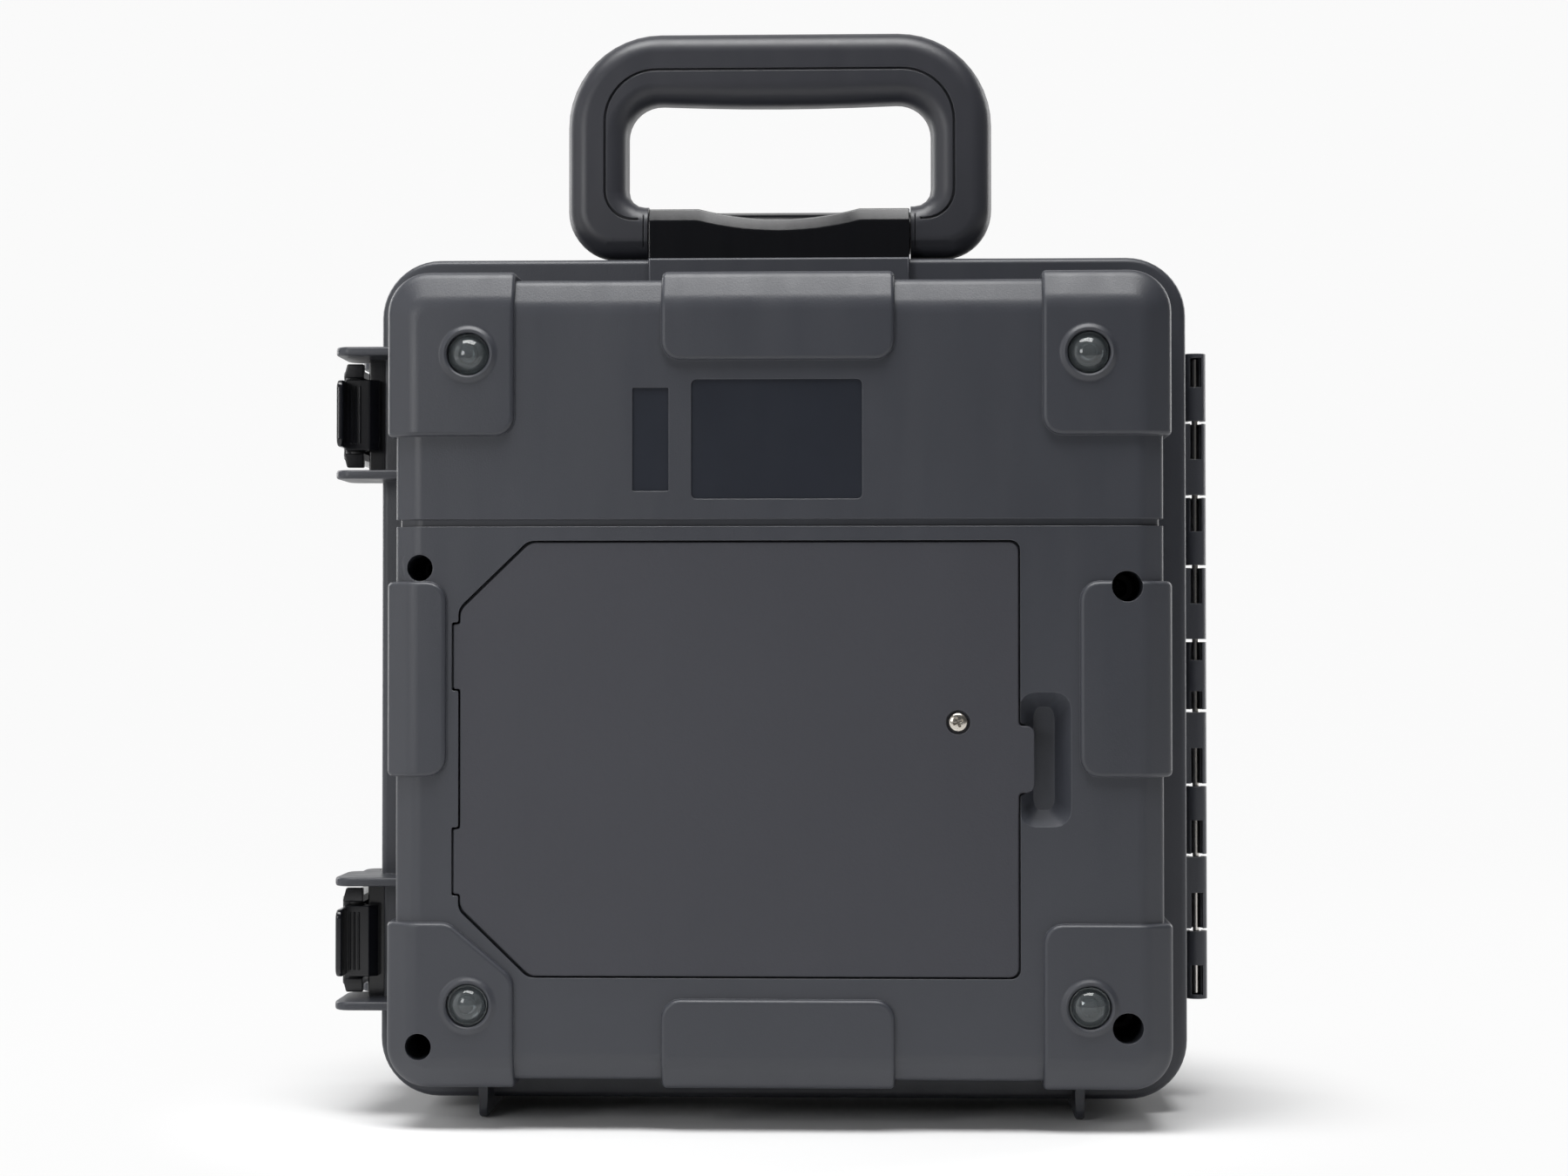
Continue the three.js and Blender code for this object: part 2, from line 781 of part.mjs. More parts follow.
function baseShell() {
  const backs = [
    extrude(outline(grown(coverCorners(), ledgeWidth / 2)), 'y', baseFloor - sink, ledgeBack),
    fingerRecess(recessWall, recessWall),
  ];
  for (const [x, z] of wells) {
    backs.push(cylinder('y', wellRadius + wellWall, baseFloor - sink, stepY - fit, [x, z], smallSides));
  }
  const inside = hollow(baseDepth, baseRimDepth);
  let shell = cut(caseHalf(baseDepth, baseRimDepth, baseFinDepth, true), inside);
  const outside = boxLoft(bodyStations(baseFace, stepY, 0, baseDepth), fineSteps);
  shell = shell.add(join(...backs).intersect(outside));
  for (const [x, z] of feet) {
    shell = shell.add(turned([
      [0, -baseDepth - footBossRise], [footBossRadius - footBossRise, -baseDepth - footBossRise],
      [footBossRadius, -baseDepth], [footBossRadius, -baseDepth + sink], [0, -baseDepth + sink],
    ], x, z, smallSides));
  }
  shell = shell.add(cut(join(...earHeights.map(latchEar(-earNear, -earFar))), inside));
  for (const z of latchHeights) {
    const bar = outline([
      [-(rimHalf + catchReach), -baseRimDepth], [-(rimHalf - sink), -baseRimDepth],
      [-(rimHalf - sink), -baseRimDepth + catchTop + catchRamp],
      [-rimHalf, -baseRimDepth + catchTop + catchRamp],
      [-(rimHalf + catchReach), -baseRimDepth + catchTop],
    ]);
    shell = shell.add(extrude(bar, 'z', z - catchLength / 2, z + catchLength / 2));
  }
  shell = shell.add(block(
    [handleX - bracketWidth / 2, handleX + bracketWidth / 2],
    [-baseRimDepth - pedestalProud, -baseRimDepth + sink],
    [rimTop - pedestalDrop, rimTop],
  ));
  shell = shell.add(knuckles(false, true));

  const pocket = extrude(outline(coverCorners()), 'y', -baseDepth, pocketFloor, fewSteps);
  const opening = extrude(outline(openingCorners(ledgeWidth)), 'y', -baseDepth, ledgeBack + overrun);
  const tongueSlots = [-tabSpread, tabSpread].map((offset) => block(
    [coverX - coverWidth / 2 - tabReach - tongueReach - fit, coverX - coverWidth / 2 + ledgeWidth + sink],
    [pocketFloor - seat - tongueThickness - fit, ledgeBack + overrun],
    [coverZ + offset - tabLength / 2, coverZ + offset + tabLength / 2],
  ));
  const cuts = [pocket, opening, ...tongueSlots, fingerRecess(0, 0)];
  for (const [x, z] of wells) {
    cuts.push(cylinder('y', wellRadius, -baseDepth - overrun, wellBottom, [x, z], smallSides));
    cuts.push(cylinder('y', screwRadius + seat, wellBottom - sink, stepY + overrun, [x, z], tinySides));
  }
  for (const [x, z] of feet) {
    const floor = -baseDepth - footBossRise + footSocketDepth;
    cuts.push(cylinder('y', footRadius + seat, -baseDepth - overrun, floor, [x, z], smallSides));
  }
  const wide = outline(rectangle(wideLabelX, wideLabelZ, wideLabelWidth, wideLabelHeight, labelCorner));
  const slim = outline(rectangle(slimLabelX, slimLabelZ, slimLabelWidth, slimLabelHeight));
  cuts.push(extrude(wide, 'y', -baseDepth, baseFace + labelDepth));
  cuts.push(extrude(slim, 'y', -baseDepth, baseFace + labelDepth));
  cuts.push(sealRing(seat, -(sealHeight - seat), overrun));
  return cut(shell, ...cuts);
}

// A ring that follows the rim, wider than the seal by a clearance on both sides
function sealRing(clearance, from, to) {
  const ring = (inset, y) => ({
    y, width: rimWidth - 2 * inset, height: rimHeight - 2 * inset, radius: rimRadius - inset,
  });
  const near = sealInset - clearance;
  const far = sealInset + sealWidth + clearance;
  const outer = boxLoft([ring(near, from), ring(near, to)], fineSteps);
  const inner = boxLoft([ring(far, from - sink), ring(far, to + sink)], fineSteps);
  return outer.subtract(inner);
}

function rimSeal() {
  return sealRing(0, -sealHeight + 2 * seat, partingGap - seat);
}

function lidShell() {
  const depth = lidDepth - partingGap;
  const turnedRound = (solid) => solid.rotate([0, 0, 180]).translate([0, partingGap, 0]);
  const lugs = earHeights.map(latchEar(lugNear, lugFar, [latchX, latchPinBack]));
  const shell = cut(
    join(turnedRound(caseHalf(depth, lidRimDepth, lidFinDepth, false)), ...lugs),
    turnedRound(hollow(depth, lidRimDepth)),
  );
  return shell.add(knuckles(true, false));
}

function latchLever(z) {
  const outer = -(rimHalf + leverReach);
  const inner = -(rimHalf + leverInner);
  const skin = outer + leverSkin;
  const half = leverWidth / 2;
  const channel = outline([
    [inner, z - half], [inner, z - half + leverCheek], [skin, z - half + leverCheek],
    [skin, z + half - leverCheek], [inner, z + half - leverCheek], [inner, z + half],
    [outer + leverBevelRise, z + half], [outer, z + half - leverBevelRun],
    [outer, z - half + leverBevelRun], [outer + leverBevelRise, z - half],
  ]);
  const thumbLength = thumbNear - leverNear + 2 * thumbCorner;
  const thumb = outline(rectangle(-thumbNear + thumbLength / 2, z, thumbLength, thumbWidth, thumbCorner));
  const pinAt = [latchX, latchPinBack];
  const hookNear = -baseRimDepth - fit - hookThickness;
  const hookFar = -baseRimDepth - fit;
  const hook = outline([
    [skin - sink, hookNear], [-(rimHalf + hookNose), hookNear],
    [-(rimHalf + hookTip), hookNear + hookNose], [-(rimHalf + hookTip), hookFar],
    [-(rimHalf + catchReach + sink), hookFar], [-(rimHalf + catchReach + sink), hookFar + hookNose],
    [skin - sink, hookFar + hookNose],
  ]);
  const solid = join(
    extrude(channel, 'y', -leverNear, latchPinBack + leverHeel),
    extrude(thumb, 'x', outer, outer + thumbSkin),
    extrude(hook, 'z', z - hookWidth / 2, z + hookWidth / 2),
    cylinder('z', leverBarrel, z - half, z + half, pinAt, smallSides),
  );
  return cut(solid, cylinder('z', latchBore, z - half - overrun, z + half + overrun, pinAt, tinySides));
}

// The handle is one rounded loop, split along the seam into an outer shell and a grip
function handleLoop() {
  const low = rimTop + handleClearance;
  const high = low + handleRise;
  const left = handleX - handleWidth / 2;
  const right = handleX + handleWidth / 2;
  const shape = outline([
    [left, low, handleFootRadius], [right, low, handleFootRadius],
    [right, high, handleTopRadius], [left, high, handleTopRadius],
  ]);
  const inLow = low + handleArmHeight;
  const inHigh = high - handleTopWidth;
  const inLeft = left + handleSideWidth;
  const inRight = right - handleSideWidth;
  const hole = new THREE.Path();
  hole.moveTo(inLeft, inLow);
  hole.lineTo(inRight, inLow);
  hole.lineTo(inRight, inHigh - openingTopRadius);
  hole.quadraticCurveTo(inRight, inHigh, inRight - openingTopRadius, inHigh);
  hole.quadraticCurveTo(handleX, inHigh - 2 * openingSag, inLeft + openingTopRadius, inHigh);
  hole.quadraticCurveTo(inLeft, inHigh, inLeft, inHigh - openingTopRadius);
  hole.closePath();
  shape.holes.push(hole);
  const geometry = new THREE.ExtrudeGeometry(shape, {
    depth: handleThickness - 2 * handleRound,
    bevelEnabled: true,
    bevelThickness: handleRound,
    bevelSize: handleRound,
    bevelOffset: -handleRound,
    bevelSegments: coarseSteps,
    curveSegments: fineSteps,
  });
  geometry.applyMatrix4(directions.y);
  geometry.translate(0, -handleBehind + handleThickness / 2 - handleRound, 0);
  const between = block(
    [handleX - bracketWidth / 2 - fit, handleX + bracketWidth / 2 + fit],
    [-handleBehind - handleThickness, -handleBehind + handleThickness],
    [low - overrun, inLow + sink],
  );
  const pin = handlePin(seat);
  return cut(toSolid(geometry), between, pin);
}

function handlePin(clearance) {
  const reach = bracketWidth / 2 + handlePinReach + clearance;
  const radius = handlePinRadius + clearance;
  return cylinder('x', radius, handleX - reach, handleX + reach, [-handleBehind, handlePivotZ], smallSides);
}

function seamPrism(clearance) {
  const low = rimTop + handleClearance + handleArmHeight - seamDrop;
  const high = rimTop + handleClearance + handleRise - seamInsetTop;
  const left = handleX - handleWidth / 2 + seamInsetSide;
  const right = handleX + handleWidth / 2 - seamInsetSide;
  const corners = [
    [left, low, seamFootRadius],
    [right, low, seamFootRadius],
    [right, high, seamRadius],
    [left, high, seamRadius],
  ];
  return extrude(outline(grown(corners, clearance)), 'y',
    -handleBehind - handleThickness, -handleBehind + handleThickness, fineSteps);
}

function handleBracket() {
  const low = rimTop + seat;
  const high = low + bracketHeight;
  const left = handleX - bracketWidth / 2;
  const right = handleX + bracketWidth / 2;
  const shape = new THREE.Shape();
  shape.moveTo(left, low);
  shape.lineTo(right, low);
  shape.lineTo(right, high);
  shape.lineTo(handleX + bracketDipWidth / 2, high);
  shape.quadraticCurveTo(handleX, high - 2 * bracketDip, handleX - bracketDipWidth / 2, high);
  shape.lineTo(left, high);
  shape.closePath();
  const near = -handleBehind - bracketDepth / 2;
  const far = -handleBehind + bracketDepth / 2;
  const body = extrude(shape, 'y', near, far, fineSteps);
  const section = outline([
    [near, low - sink], [far, low - sink], [far, high - bracketEdge],
    [far - bracketEdge, high + weld], [near + bracketEdge, high + weld], [near, high - bracketEdge],
  ]);
  return cut(body.intersect(extrude(section, 'x', left - sink, right + sink)), handlePin(seat));
}

function batteryCover() {
  const front = baseFace + coverDip;
  const back = front + coverThickness;
  const plate = extrude(outline(grown(coverCorners(), -coverGap)), 'y', front, back, fewSteps);
  const left = coverX - coverWidth / 2 - tabReach;
  const tongues = [-tabSpread, tabSpread].map((offset) => block(
    [left - tongueReach, left + tabReach + sink],
    [back - tongueThickness, back],
    [coverZ + offset - tabLength / 2 + coverGap + fit, coverZ + offset + tabLength / 2 - coverGap - fit],
  ));
  return cut(
    join(plate, ...tongues),
    cylinder('y', counterboreRadius, -baseDepth, front + counterboreDepth, [coverScrewX, coverScrewZ]),
    cylinder('y', screwRadius + seat, -baseDepth, back + overrun, [coverScrewX, coverScrewZ], tinySides),
  );
}

// A pan-head screw along Y, its head towards the back
function screw(x, z, seatY, headRadius, headHeight, length) {
  const top = seatY - headHeight;
  return turned([
    [0, top], [headRadius - headHeight / 2, top], [headRadius, top + headHeight / 2], [headRadius, seatY],
    [screwRadius, seatY], [screwRadius, seatY + length - screwRadius / 2], [0, seatY + length],
  ], x, z, smallSides);
}

function caseScrew(x, z) {
  return screw(x, z, wellBottom - seat, screwHeadRadius, screwHeadHeight, screwLength);
}

// The cover's screw shows, so its head has its cross recess
function coverScrew() {
  const seatY = baseFace + coverDip + counterboreDepth - seat;
  const arms = [[crossReach, crossWidth / 2], [crossWidth / 2, crossReach]].map(([halfX, halfZ]) => block(
    [coverScrewX - halfX, coverScrewX + halfX],
    [seatY - coverScrewHeight - sink, seatY - coverScrewHeight + crossDepth],
    [coverScrewZ - halfZ, coverScrewZ + halfZ],
  ));
  return cut(
    screw(coverScrewX, coverScrewZ, seatY, coverScrewHead, coverScrewHeight, coverScrewLength),
    ...arms,
  );
}

function batteryTray() {
  const front = ledgeBack + seat;
  const back = front + trayDepth;
  const outside = outline(openingCorners(ledgeWidth + trayInset - trayWall));
  const inside = outline(openingCorners(ledgeWidth + trayInset));
  let tray = cut(
    extrude(outside, 'y', front, back),
    extrude(inside, 'y', front - overrun, back - trayWall),
  );
  const contactBack = cellsRight() + contactThickness + seat;
  const root = back - trayWall + sink;
  for (let row = 1; row < cellRows; row += 1) {
    const z = coverZ + (row - cellRows / 2) * cellPitch;
    tray = tray.add(block(
      [cellsLeft() + seat, cellsRight() - seat],
      [back - trayWall - ribHeight, root],
      [z - ribThickness / 2, z + ribThickness / 2],
    ));
  }
  const contactFront = cellsLeft() - contactThickness - 2 * seat;
  for (const stop of [[contactFront - cellMargin, contactFront], [contactBack, contactBack + trayWall]]) {
    tray = tray.add(block(stop, [cellY - contactWidth / 2, root], contactSpan()));
  }
  const screwAt = [coverScrewX, coverScrewZ];
  const screwTip = baseFace + coverDip + counterboreDepth + coverScrewLength;
  return cut(
    tray.add(cylinder('y', postRadius, pocketFloor + seat, root, screwAt, smallSides)),
    cylinder('y', screwRadius + seat, pocketFloor - sink, screwTip + sink, screwAt, tinySides),
  );
}

function cellsLeft() {
  return coverX - coverWidth / 2 + ledgeWidth + trayInset + cellMargin + contactThickness + 2 * seat;
}

function cellsRight() {
  return cellsLeft() + cellColumns * (cellLength + seat);
}

const cellY = ledgeBack + seat + trayDepth - trayWall - seat - cellRadius;

function cell(column, row) {
  const start = cellsLeft() + column * (cellLength + seat);
  const z = coverZ + (row - (cellRows - 1) / 2) * cellPitch;
  const profile = [
    [0, 0], [cellRadius - cellEdge, 0], [cellRadius, cellEdge],
    [cellRadius, cellLength - nubHeight - cellEdge], [cellRadius - cellEdge, cellLength - nubHeight],
    [nubRadius, cellLength - nubHeight], [nubRadius, cellLength], [0, cellLength],
  ];
  const points = profile.map(([radius, along]) => new THREE.Vector2(radius, along));
  const geometry = new THREE.LatheGeometry(points, smallSides);
  if (row % 2) geometry.rotateZ(-Math.PI / 2).translate(start, cellY, z);
  else geometry.rotateZ(Math.PI / 2).translate(start + cellLength, cellY, z);
  return toSolid(geometry);
}

function contactSpan() {
  const span = ((cellRows - 1) * cellPitch) / 2 + contactMargin;
  return [coverZ - span, coverZ + span];
}

function contactPlate(x) {
  const half = contactWidth / 2;
  return block([x, x + contactThickness], [cellY - half, cellY + half], contactSpan());
}

function foot(x, z) {
  const floor = -baseDepth - footBossRise + footSocketDepth - seat;
  const tip = -baseDepth - footProud;
  const shelf = tip + footShelf;
  const dome = [];
  for (let step = 0; step <= coarseSteps; step += 1) {
    const angle = (step / coarseSteps) * (Math.PI / 2);
    dome.push([footDome * Math.sin(angle), shelf - footShelf * Math.cos(angle)]);
  }
  return turned([...dome, [footRadius, shelf], [footRadius, floor], [0, floor]], x, z, smallSides);
}

function instrumentPanel() {
  const wide = rimWidth - 2 * rimWall - 2 * fit;
  const tall = rimHeight - 2 * rimWall - 2 * fit;
  const corner = rimRadius - rimWall - fit;
  const ring = (y, inset) => ({
    y, width: wide - 2 * inset, height: tall - 2 * inset, radius: corner - inset,
  });
  const plate = boxLoft([ring(stepY + seat, 0), ring(panelFront, 0)], fineSteps);
  const under = boxLoft([ring(stepY - sink, panelSkirt), ring(panelBack, panelSkirt)], fineSteps);
  let panel = plate.subtract(under);
  const high = bodyTop - bodyWall - wellTrayMargin + wellTrayWall;
  const low = trayTop + wellTrayGap + wellTrayWall;
  const tubZ = (low + high) / 2;
  const tub = (rise, y) => ({
    y, width: wellTrayWidth + 2 * rise, height: high - low + 2 * rise, radius: wellTrayCorner + rise,
  });
  const tubBack = panelFront - wellTrayDepth;
  panel = panel.add(boxLoft([tub(wellTrayWall, tubBack - wellTrayWall), tub(wellTrayWall, panelBack + sink)],
    coarseSteps, 0, tubZ));
  for (const [x, z] of wells) {
    panel = panel.add(cylinder('y', bossRadius, stepY + seat, panelBack + sink, [x, z], smallSides));
  }
  for (const [x, z] of boardPosts()) {
    panel = panel.add(cylinder('y', boardPostRadius, boardFront + seat, panelBack + sink, [x, z], tinySides));
  }
  const cuts = [boxLoft([tub(0, tubBack), tub(0, overrun)], coarseSteps, 0, tubZ)];
  for (const [x, z] of wells) {
    cuts.push(cylinder('y', screwRadius + seat, stepY - sink, panelBack, [x, z], tinySides));
  }
  const glass = rectangle(displayX, displayZ, windowWidth, windowHeight, windowCorner);
  const sight = grown(glass, -windowLip);
  cuts.push(extrude(outline(glass), 'y', panelFront - windowThickness - seat, overrun, fewSteps));
  cuts.push(extrude(outline(sight), 'y', panelBack - sink, overrun, fewSteps));
  cuts.push(cylinder('y', spindleHole, panelBack - sink, overrun, [knobX, knobZ], smallSides));
  cuts.push(cylinder('y', testRadius + fit, panelBack - sink, overrun, [testX, testZ]));
  for (const x of keyPlaces()) {
    const hole = grown(rectangle(x, keyZ, keyWidth, keyHeight, keyCorner), fit);
    cuts.push(extrude(outline(hole), 'y', panelBack - sink, overrun, fewSteps));
  }
  for (const x of socketPlaces()) {
    cuts.push(cylinder('y', socketRadius + seat, panelBack - sink, overrun, [x, socketZ], smallSides));
  }
  return cut(panel, ...cuts);
}

function boardPosts() {
  const x = boardWidth / 2 - boardPostInset;
  const z = boardHeight / 2 - boardPostInset;
  return [[-x, boardZ + z], [x, boardZ + z], [-x, boardZ - z], [x, boardZ - z]];
}

// Places of a row of pieces along X, from its first place and pitch
function rowOf(count, first, pitch) {
  return Array.from({ length: count }, (none, index) => first + index * pitch);
}

function keyPlaces() {
  return rowOf(keyCount, displayX - ((keyCount - 1) / 2) * keyPitch, keyPitch);
}

function socketPlaces() {
  return rowOf(socketCount, socketX, socketPitch);
}

function circuitBoard() {
  return block(
    [-boardWidth / 2, boardWidth / 2],
    [boardBack, boardFront],
    [boardZ - boardHeight / 2, boardZ + boardHeight / 2],
  );
}

function displayModule() {
  return extrude(outline(rectangle(displayX, displayZ, displayWidth, displayHeight)), 'y',
    panelBack - seat - displayThickness, panelBack - seat);
}

function displayWindow() {
  const corners = grown(rectangle(displayX, displayZ, windowWidth, windowHeight, windowCorner), -seat);
  return extrude(outline(corners), 'y', panelFront - windowThickness, panelFront, fewSteps);
}

function selectorKnob() {
  const low = panelFront + knobLift;
  const top = low + knobHeight;
  const edge = knobHeight / coarseSteps;
  const disc = turned([
    [0, boardFront + seat], [spindleRadius, boardFront + seat], [spindleRadius, low], [knobRadius, low],
    [knobRadius, top - edge], [knobRadius - edge, top], [0, top],
  ], knobX, knobZ);
  const grip = rectangle(knobX, knobZ, knobGripWidth, knobGripLength, knobGripCorner);
  return disc.add(extrude(outline(grip), 'y', top - sink, top + knobGripHeight));
}

function key(x) {
  const corners = rectangle(x, keyZ, keyWidth, keyHeight, keyCorner);
  const flange = outline(grown(corners, keyFlange));
  return join(
    extrude(outline(corners), 'y', panelBack - sink, panelFront + keyProud, fewSteps),
    extrude(flange, 'y', panelBack - seat - keyFlangeThickness, panelBack - seat, fewSteps),
    cylinder('y', keyStemRadius, boardFront + keyTravel + seat, panelBack, [x, keyZ], tinySides),
  );
}

function testButton() {
  const top = panelFront + testProud;
  const edge = testDish;
  return turned([
    [0, boardFront + testTravel + seat], [spindleRadius, boardFront + testTravel + seat],
    [spindleRadius, panelBack - seat - keyFlangeThickness],
    [testRadius + keyFlange, panelBack - seat - keyFlangeThickness],
    [testRadius + keyFlange, panelBack - seat], [testRadius, panelBack - seat],
    [testRadius, top - edge], [testRadius - edge, top], [testRadius - 2 * edge, top], [0, top - testDish],
  ], testX, testZ);
}

function socket(x) {
  const collar = panelFront + seat;
  return cut(
    turned([
      [0, panelFront - socketDepth], [socketRadius, panelFront - socketDepth], [socketRadius, collar],
      [socketRim, collar], [socketRim, collar + socketRimHeight / 2],
      [socketRim - socketRimHeight / 2, collar + socketRimHeight], [0, collar + socketRimHeight],
    ], x, socketZ, smallSides),
    cylinder('y', socketBore, panelFront - socketBoreDepth, overrun, [x, socketZ], smallSides),
  );
}

function hingePin() {
  const span = (knuckleCount * knucklePitch - knuckleExtra - knuckleGap) / 2 - hingeCap - seat;
  return cylinder('z', hingePinRadius, hingeZ - span, hingeZ + span, [hingeX, 0], tinySides);
}

function latchPin(z) {
  const span = (earSpread + earThickness) / 2;
  return cylinder('z', latchPinRadius, z - span, z + span, [latchX, latchPinBack], tinySides);
}

// The assembly, moved so that the middle of its underside is the origin
const part = new THREE.Group();
const reachLeft = rimHalf + earReach;
const reachRight = hingeX + knuckleRadius;
part.position.set((reachLeft - reachRight) / 2, (baseDepth + footProud - lidDepth) / 2, 0);

addPiece(part, 'base_shell', baseShell(), caseAbs);
addPiece(part, 'lid_shell', lidShell(), darkAbs);
addPiece(part, 'rim_seal', rimSeal(), sealRubber);
addPiece(part, 'hinge_pin', hingePin(), stainless);

['upper', 'lower'].forEach((place, index) => {
  addPiece(part, `latch_lever_${place}`, latchLever(latchHeights[index]), darkAbs);
  addPiece(part, `latch_pin_${place}`, latchPin(latchHeights[index]), stainless);
});

addPiece(part, 'handle_shell', handleLoop().subtract(seamPrism(seamGap)), gripAbs);
addPiece(part, 'handle_grip', handleLoop().intersect(seamPrism(0)), gripAbs);
addPiece(part, 'handle_bracket', handleBracket(), glossAbs);
addPiece(part, 'handle_pin', handlePin(0), stainless);

addPiece(part, 'battery_cover', batteryCover(), coverAbs);
addPiece(part, 'cover_screw', coverScrew(), nickel);
addPiece(part, 'battery_tray', batteryTray(), panelAbs);
addPiece(part, 'contact_plate_left', contactPlate(cellsLeft() - contactThickness - seat), nickel);
addPiece(part, 'contact_plate_right', contactPlate(cellsRight()), nickel);
for (let column = 0; column < cellColumns; column += 1) {
  for (let row = 0; row < cellRows; row += 1) {
    addPiece(part, `battery_cell_${column * cellRows + row + 1}`, cell(column, row), cellSleeve);
  }
}

feet.forEach(([x, z], index) => {
  addPiece(part, `rubber_foot_${index + 1}`, foot(x, z), clearRubber);
});
wells.forEach(([x, z], index) => {
  addPiece(part, `case_screw_${index + 1}`, caseScrew(x, z), nickel);
});

addPiece(part, 'instrument_panel', instrumentPanel(), panelAbs);
addPiece(part, 'circuit_board', circuitBoard(), boardLaminate);
addPiece(part, 'display_module', displayModule(), displayGlass);
addPiece(part, 'display_window', displayWindow(), windowPane);
addPiece(part, 'selector_knob', selectorKnob(), darkAbs);
addPiece(part, 'test_button', testButton(), testRubber);
keyPlaces().forEach((x, index) => {
  addPiece(part, `function_key_${index + 1}`, key(x), keyRubber);
});
socketPlaces().forEach((x, index) => {
  addPiece(part, `terminal_socket_${index + 1}`, socket(x), socketMoulding);
});

export default part;
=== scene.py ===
import math

import bmesh
import bpy
from mathutils import Matrix, Vector


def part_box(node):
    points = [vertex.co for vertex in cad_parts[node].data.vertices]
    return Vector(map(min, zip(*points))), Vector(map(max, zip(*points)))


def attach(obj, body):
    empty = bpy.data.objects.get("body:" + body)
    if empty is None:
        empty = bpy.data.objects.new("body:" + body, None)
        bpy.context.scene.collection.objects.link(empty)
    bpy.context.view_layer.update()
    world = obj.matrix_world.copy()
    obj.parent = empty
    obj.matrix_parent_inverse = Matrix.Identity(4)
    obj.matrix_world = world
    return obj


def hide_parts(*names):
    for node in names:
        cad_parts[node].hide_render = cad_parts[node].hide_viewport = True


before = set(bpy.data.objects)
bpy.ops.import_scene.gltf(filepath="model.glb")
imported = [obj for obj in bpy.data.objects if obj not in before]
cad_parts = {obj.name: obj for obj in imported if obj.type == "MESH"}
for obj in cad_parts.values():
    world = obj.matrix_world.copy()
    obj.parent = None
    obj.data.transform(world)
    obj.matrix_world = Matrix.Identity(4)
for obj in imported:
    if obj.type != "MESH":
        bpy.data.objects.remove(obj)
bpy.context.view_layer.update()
print("frame loaded")

mm = 0.001
close = 0.01  # millimetres within which two places are the same
weld = 0.002  # millimetres within which two corners are merged
sink = 1  # how far an added block sinks into what carries it
past = 3  # how far a cutting block runs past what it cuts
seat = 0.3  # gap between two faces that touch
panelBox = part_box("instrument_panel")
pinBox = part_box("hinge_pin")
caseX = (panelBox[0][0] + panelBox[1][0]) / 2
partingY = (pinBox[0][1] + pinBox[1][1]) / 2
axes = {"x": Vector((1, 0, 0)), "y": Vector((0, 1, 0)), "z": Vector((0, 0, 1))}


# Places are in millimetres: x from the case's middle, y from its parting plane, z from the floor
def spot(x, y, z):
    return Vector((caseX + x * mm, partingY + y * mm, z * mm))


def placeOf(point):
    return Vector(((point[0] - caseX) / mm, (point[1] - partingY) / mm, point[2] / mm))


# A point of an outline that lies across the given axis
def across(axis, u, v, depth):
    return {"x": spot(depth, u, v), "y": spot(u, depth, v), "z": spot(u, v, depth)}[axis]


def clearSelection():
    if bpy.context.mode != "OBJECT":
        bpy.ops.object.mode_set(mode="OBJECT")
    bpy.ops.object.select_all(action="DESELECT")


def focus(piece):
    clearSelection()
    piece.select_set(True)
    bpy.context.view_layer.objects.active = piece


# Names the new piece and puts its place into its mesh
def settle(name):
    piece = bpy.context.object
    piece.name = name
    piece.data.name = name
    bpy.ops.object.transform_apply(location=True, rotation=True, scale=True)
    return piece


def addBox(name, low, high):
    clearSelection()
    near, far = spot(*low), spot(*high)
    bpy.ops.mesh.primitive_cube_add(size=1, location=(near + far) / 2, scale=far - near)
    return settle(name)


def addRound(name, axis, radius, centre, start, end, sides=48):
    clearSelection()
    near, far = across(axis, *centre, start), across(axis, *centre, end)
    turn = {"x": (0, math.pi / 2, 0), "y": (math.pi / 2, 0, 0), "z": (0, 0, 0)}[axis]
    bpy.ops.mesh.primitive_cylinder_add(vertices=sides, radius=radius * mm, depth=(far - near).length,
                                        location=(near + far) / 2, rotation=turn)
    return settle(name)


# Edges are tested by both ends, in millimetres, and by the angle between their faces
def chooseEdges(piece, test):
    focus(piece)
    bpy.ops.object.mode_set(mode="EDIT")
    bpy.ops.mesh.select_mode(type="EDGE")
    bpy.ops.mesh.select_all(action="DESELECT")
    mesh = bmesh.from_edit_mesh(piece.data)
    for edge in mesh.edges:
        a, b = (placeOf(vert.co) for vert in edge.verts)
        if test(a, b, math.degrees(edge.calc_face_angle(0))):
            edge.select_set(True)
    bmesh.update_edit_mesh(piece.data)


# Faces are tested by their middle, in millimetres, and their normal
def chooseFaces(piece, test):
    focus(piece)
    bpy.ops.object.mode_set(mode="EDIT")
    bpy.ops.mesh.select_mode(type="FACE")
    bpy.ops.mesh.select_all(action="DESELECT")
    mesh = bmesh.from_edit_mesh(piece.data)
    for face in mesh.faces:
        if test(placeOf(face.calc_center_median()), face.normal):
            face.select_set(True)
    bmesh.update_edit_mesh(piece.data)


def bevelWhere(piece, test, width, segments=4):
    chooseEdges(piece, test)
    bpy.ops.mesh.bevel(offset=width * mm, segments=segments, affect="EDGES")
    bpy.ops.object.mode_set(mode="OBJECT")
    return piece


def turnFacesOut(piece):
    focus(piece)
    bpy.ops.object.mode_set(mode="EDIT")
    bpy.ops.mesh.select_all(action="SELECT")
    bpy.ops.mesh.remove_doubles(threshold=weld * mm)
    bpy.ops.mesh.normals_make_consistent(inside=False)
    bpy.ops.object.mode_set(mode="OBJECT")
    return piece


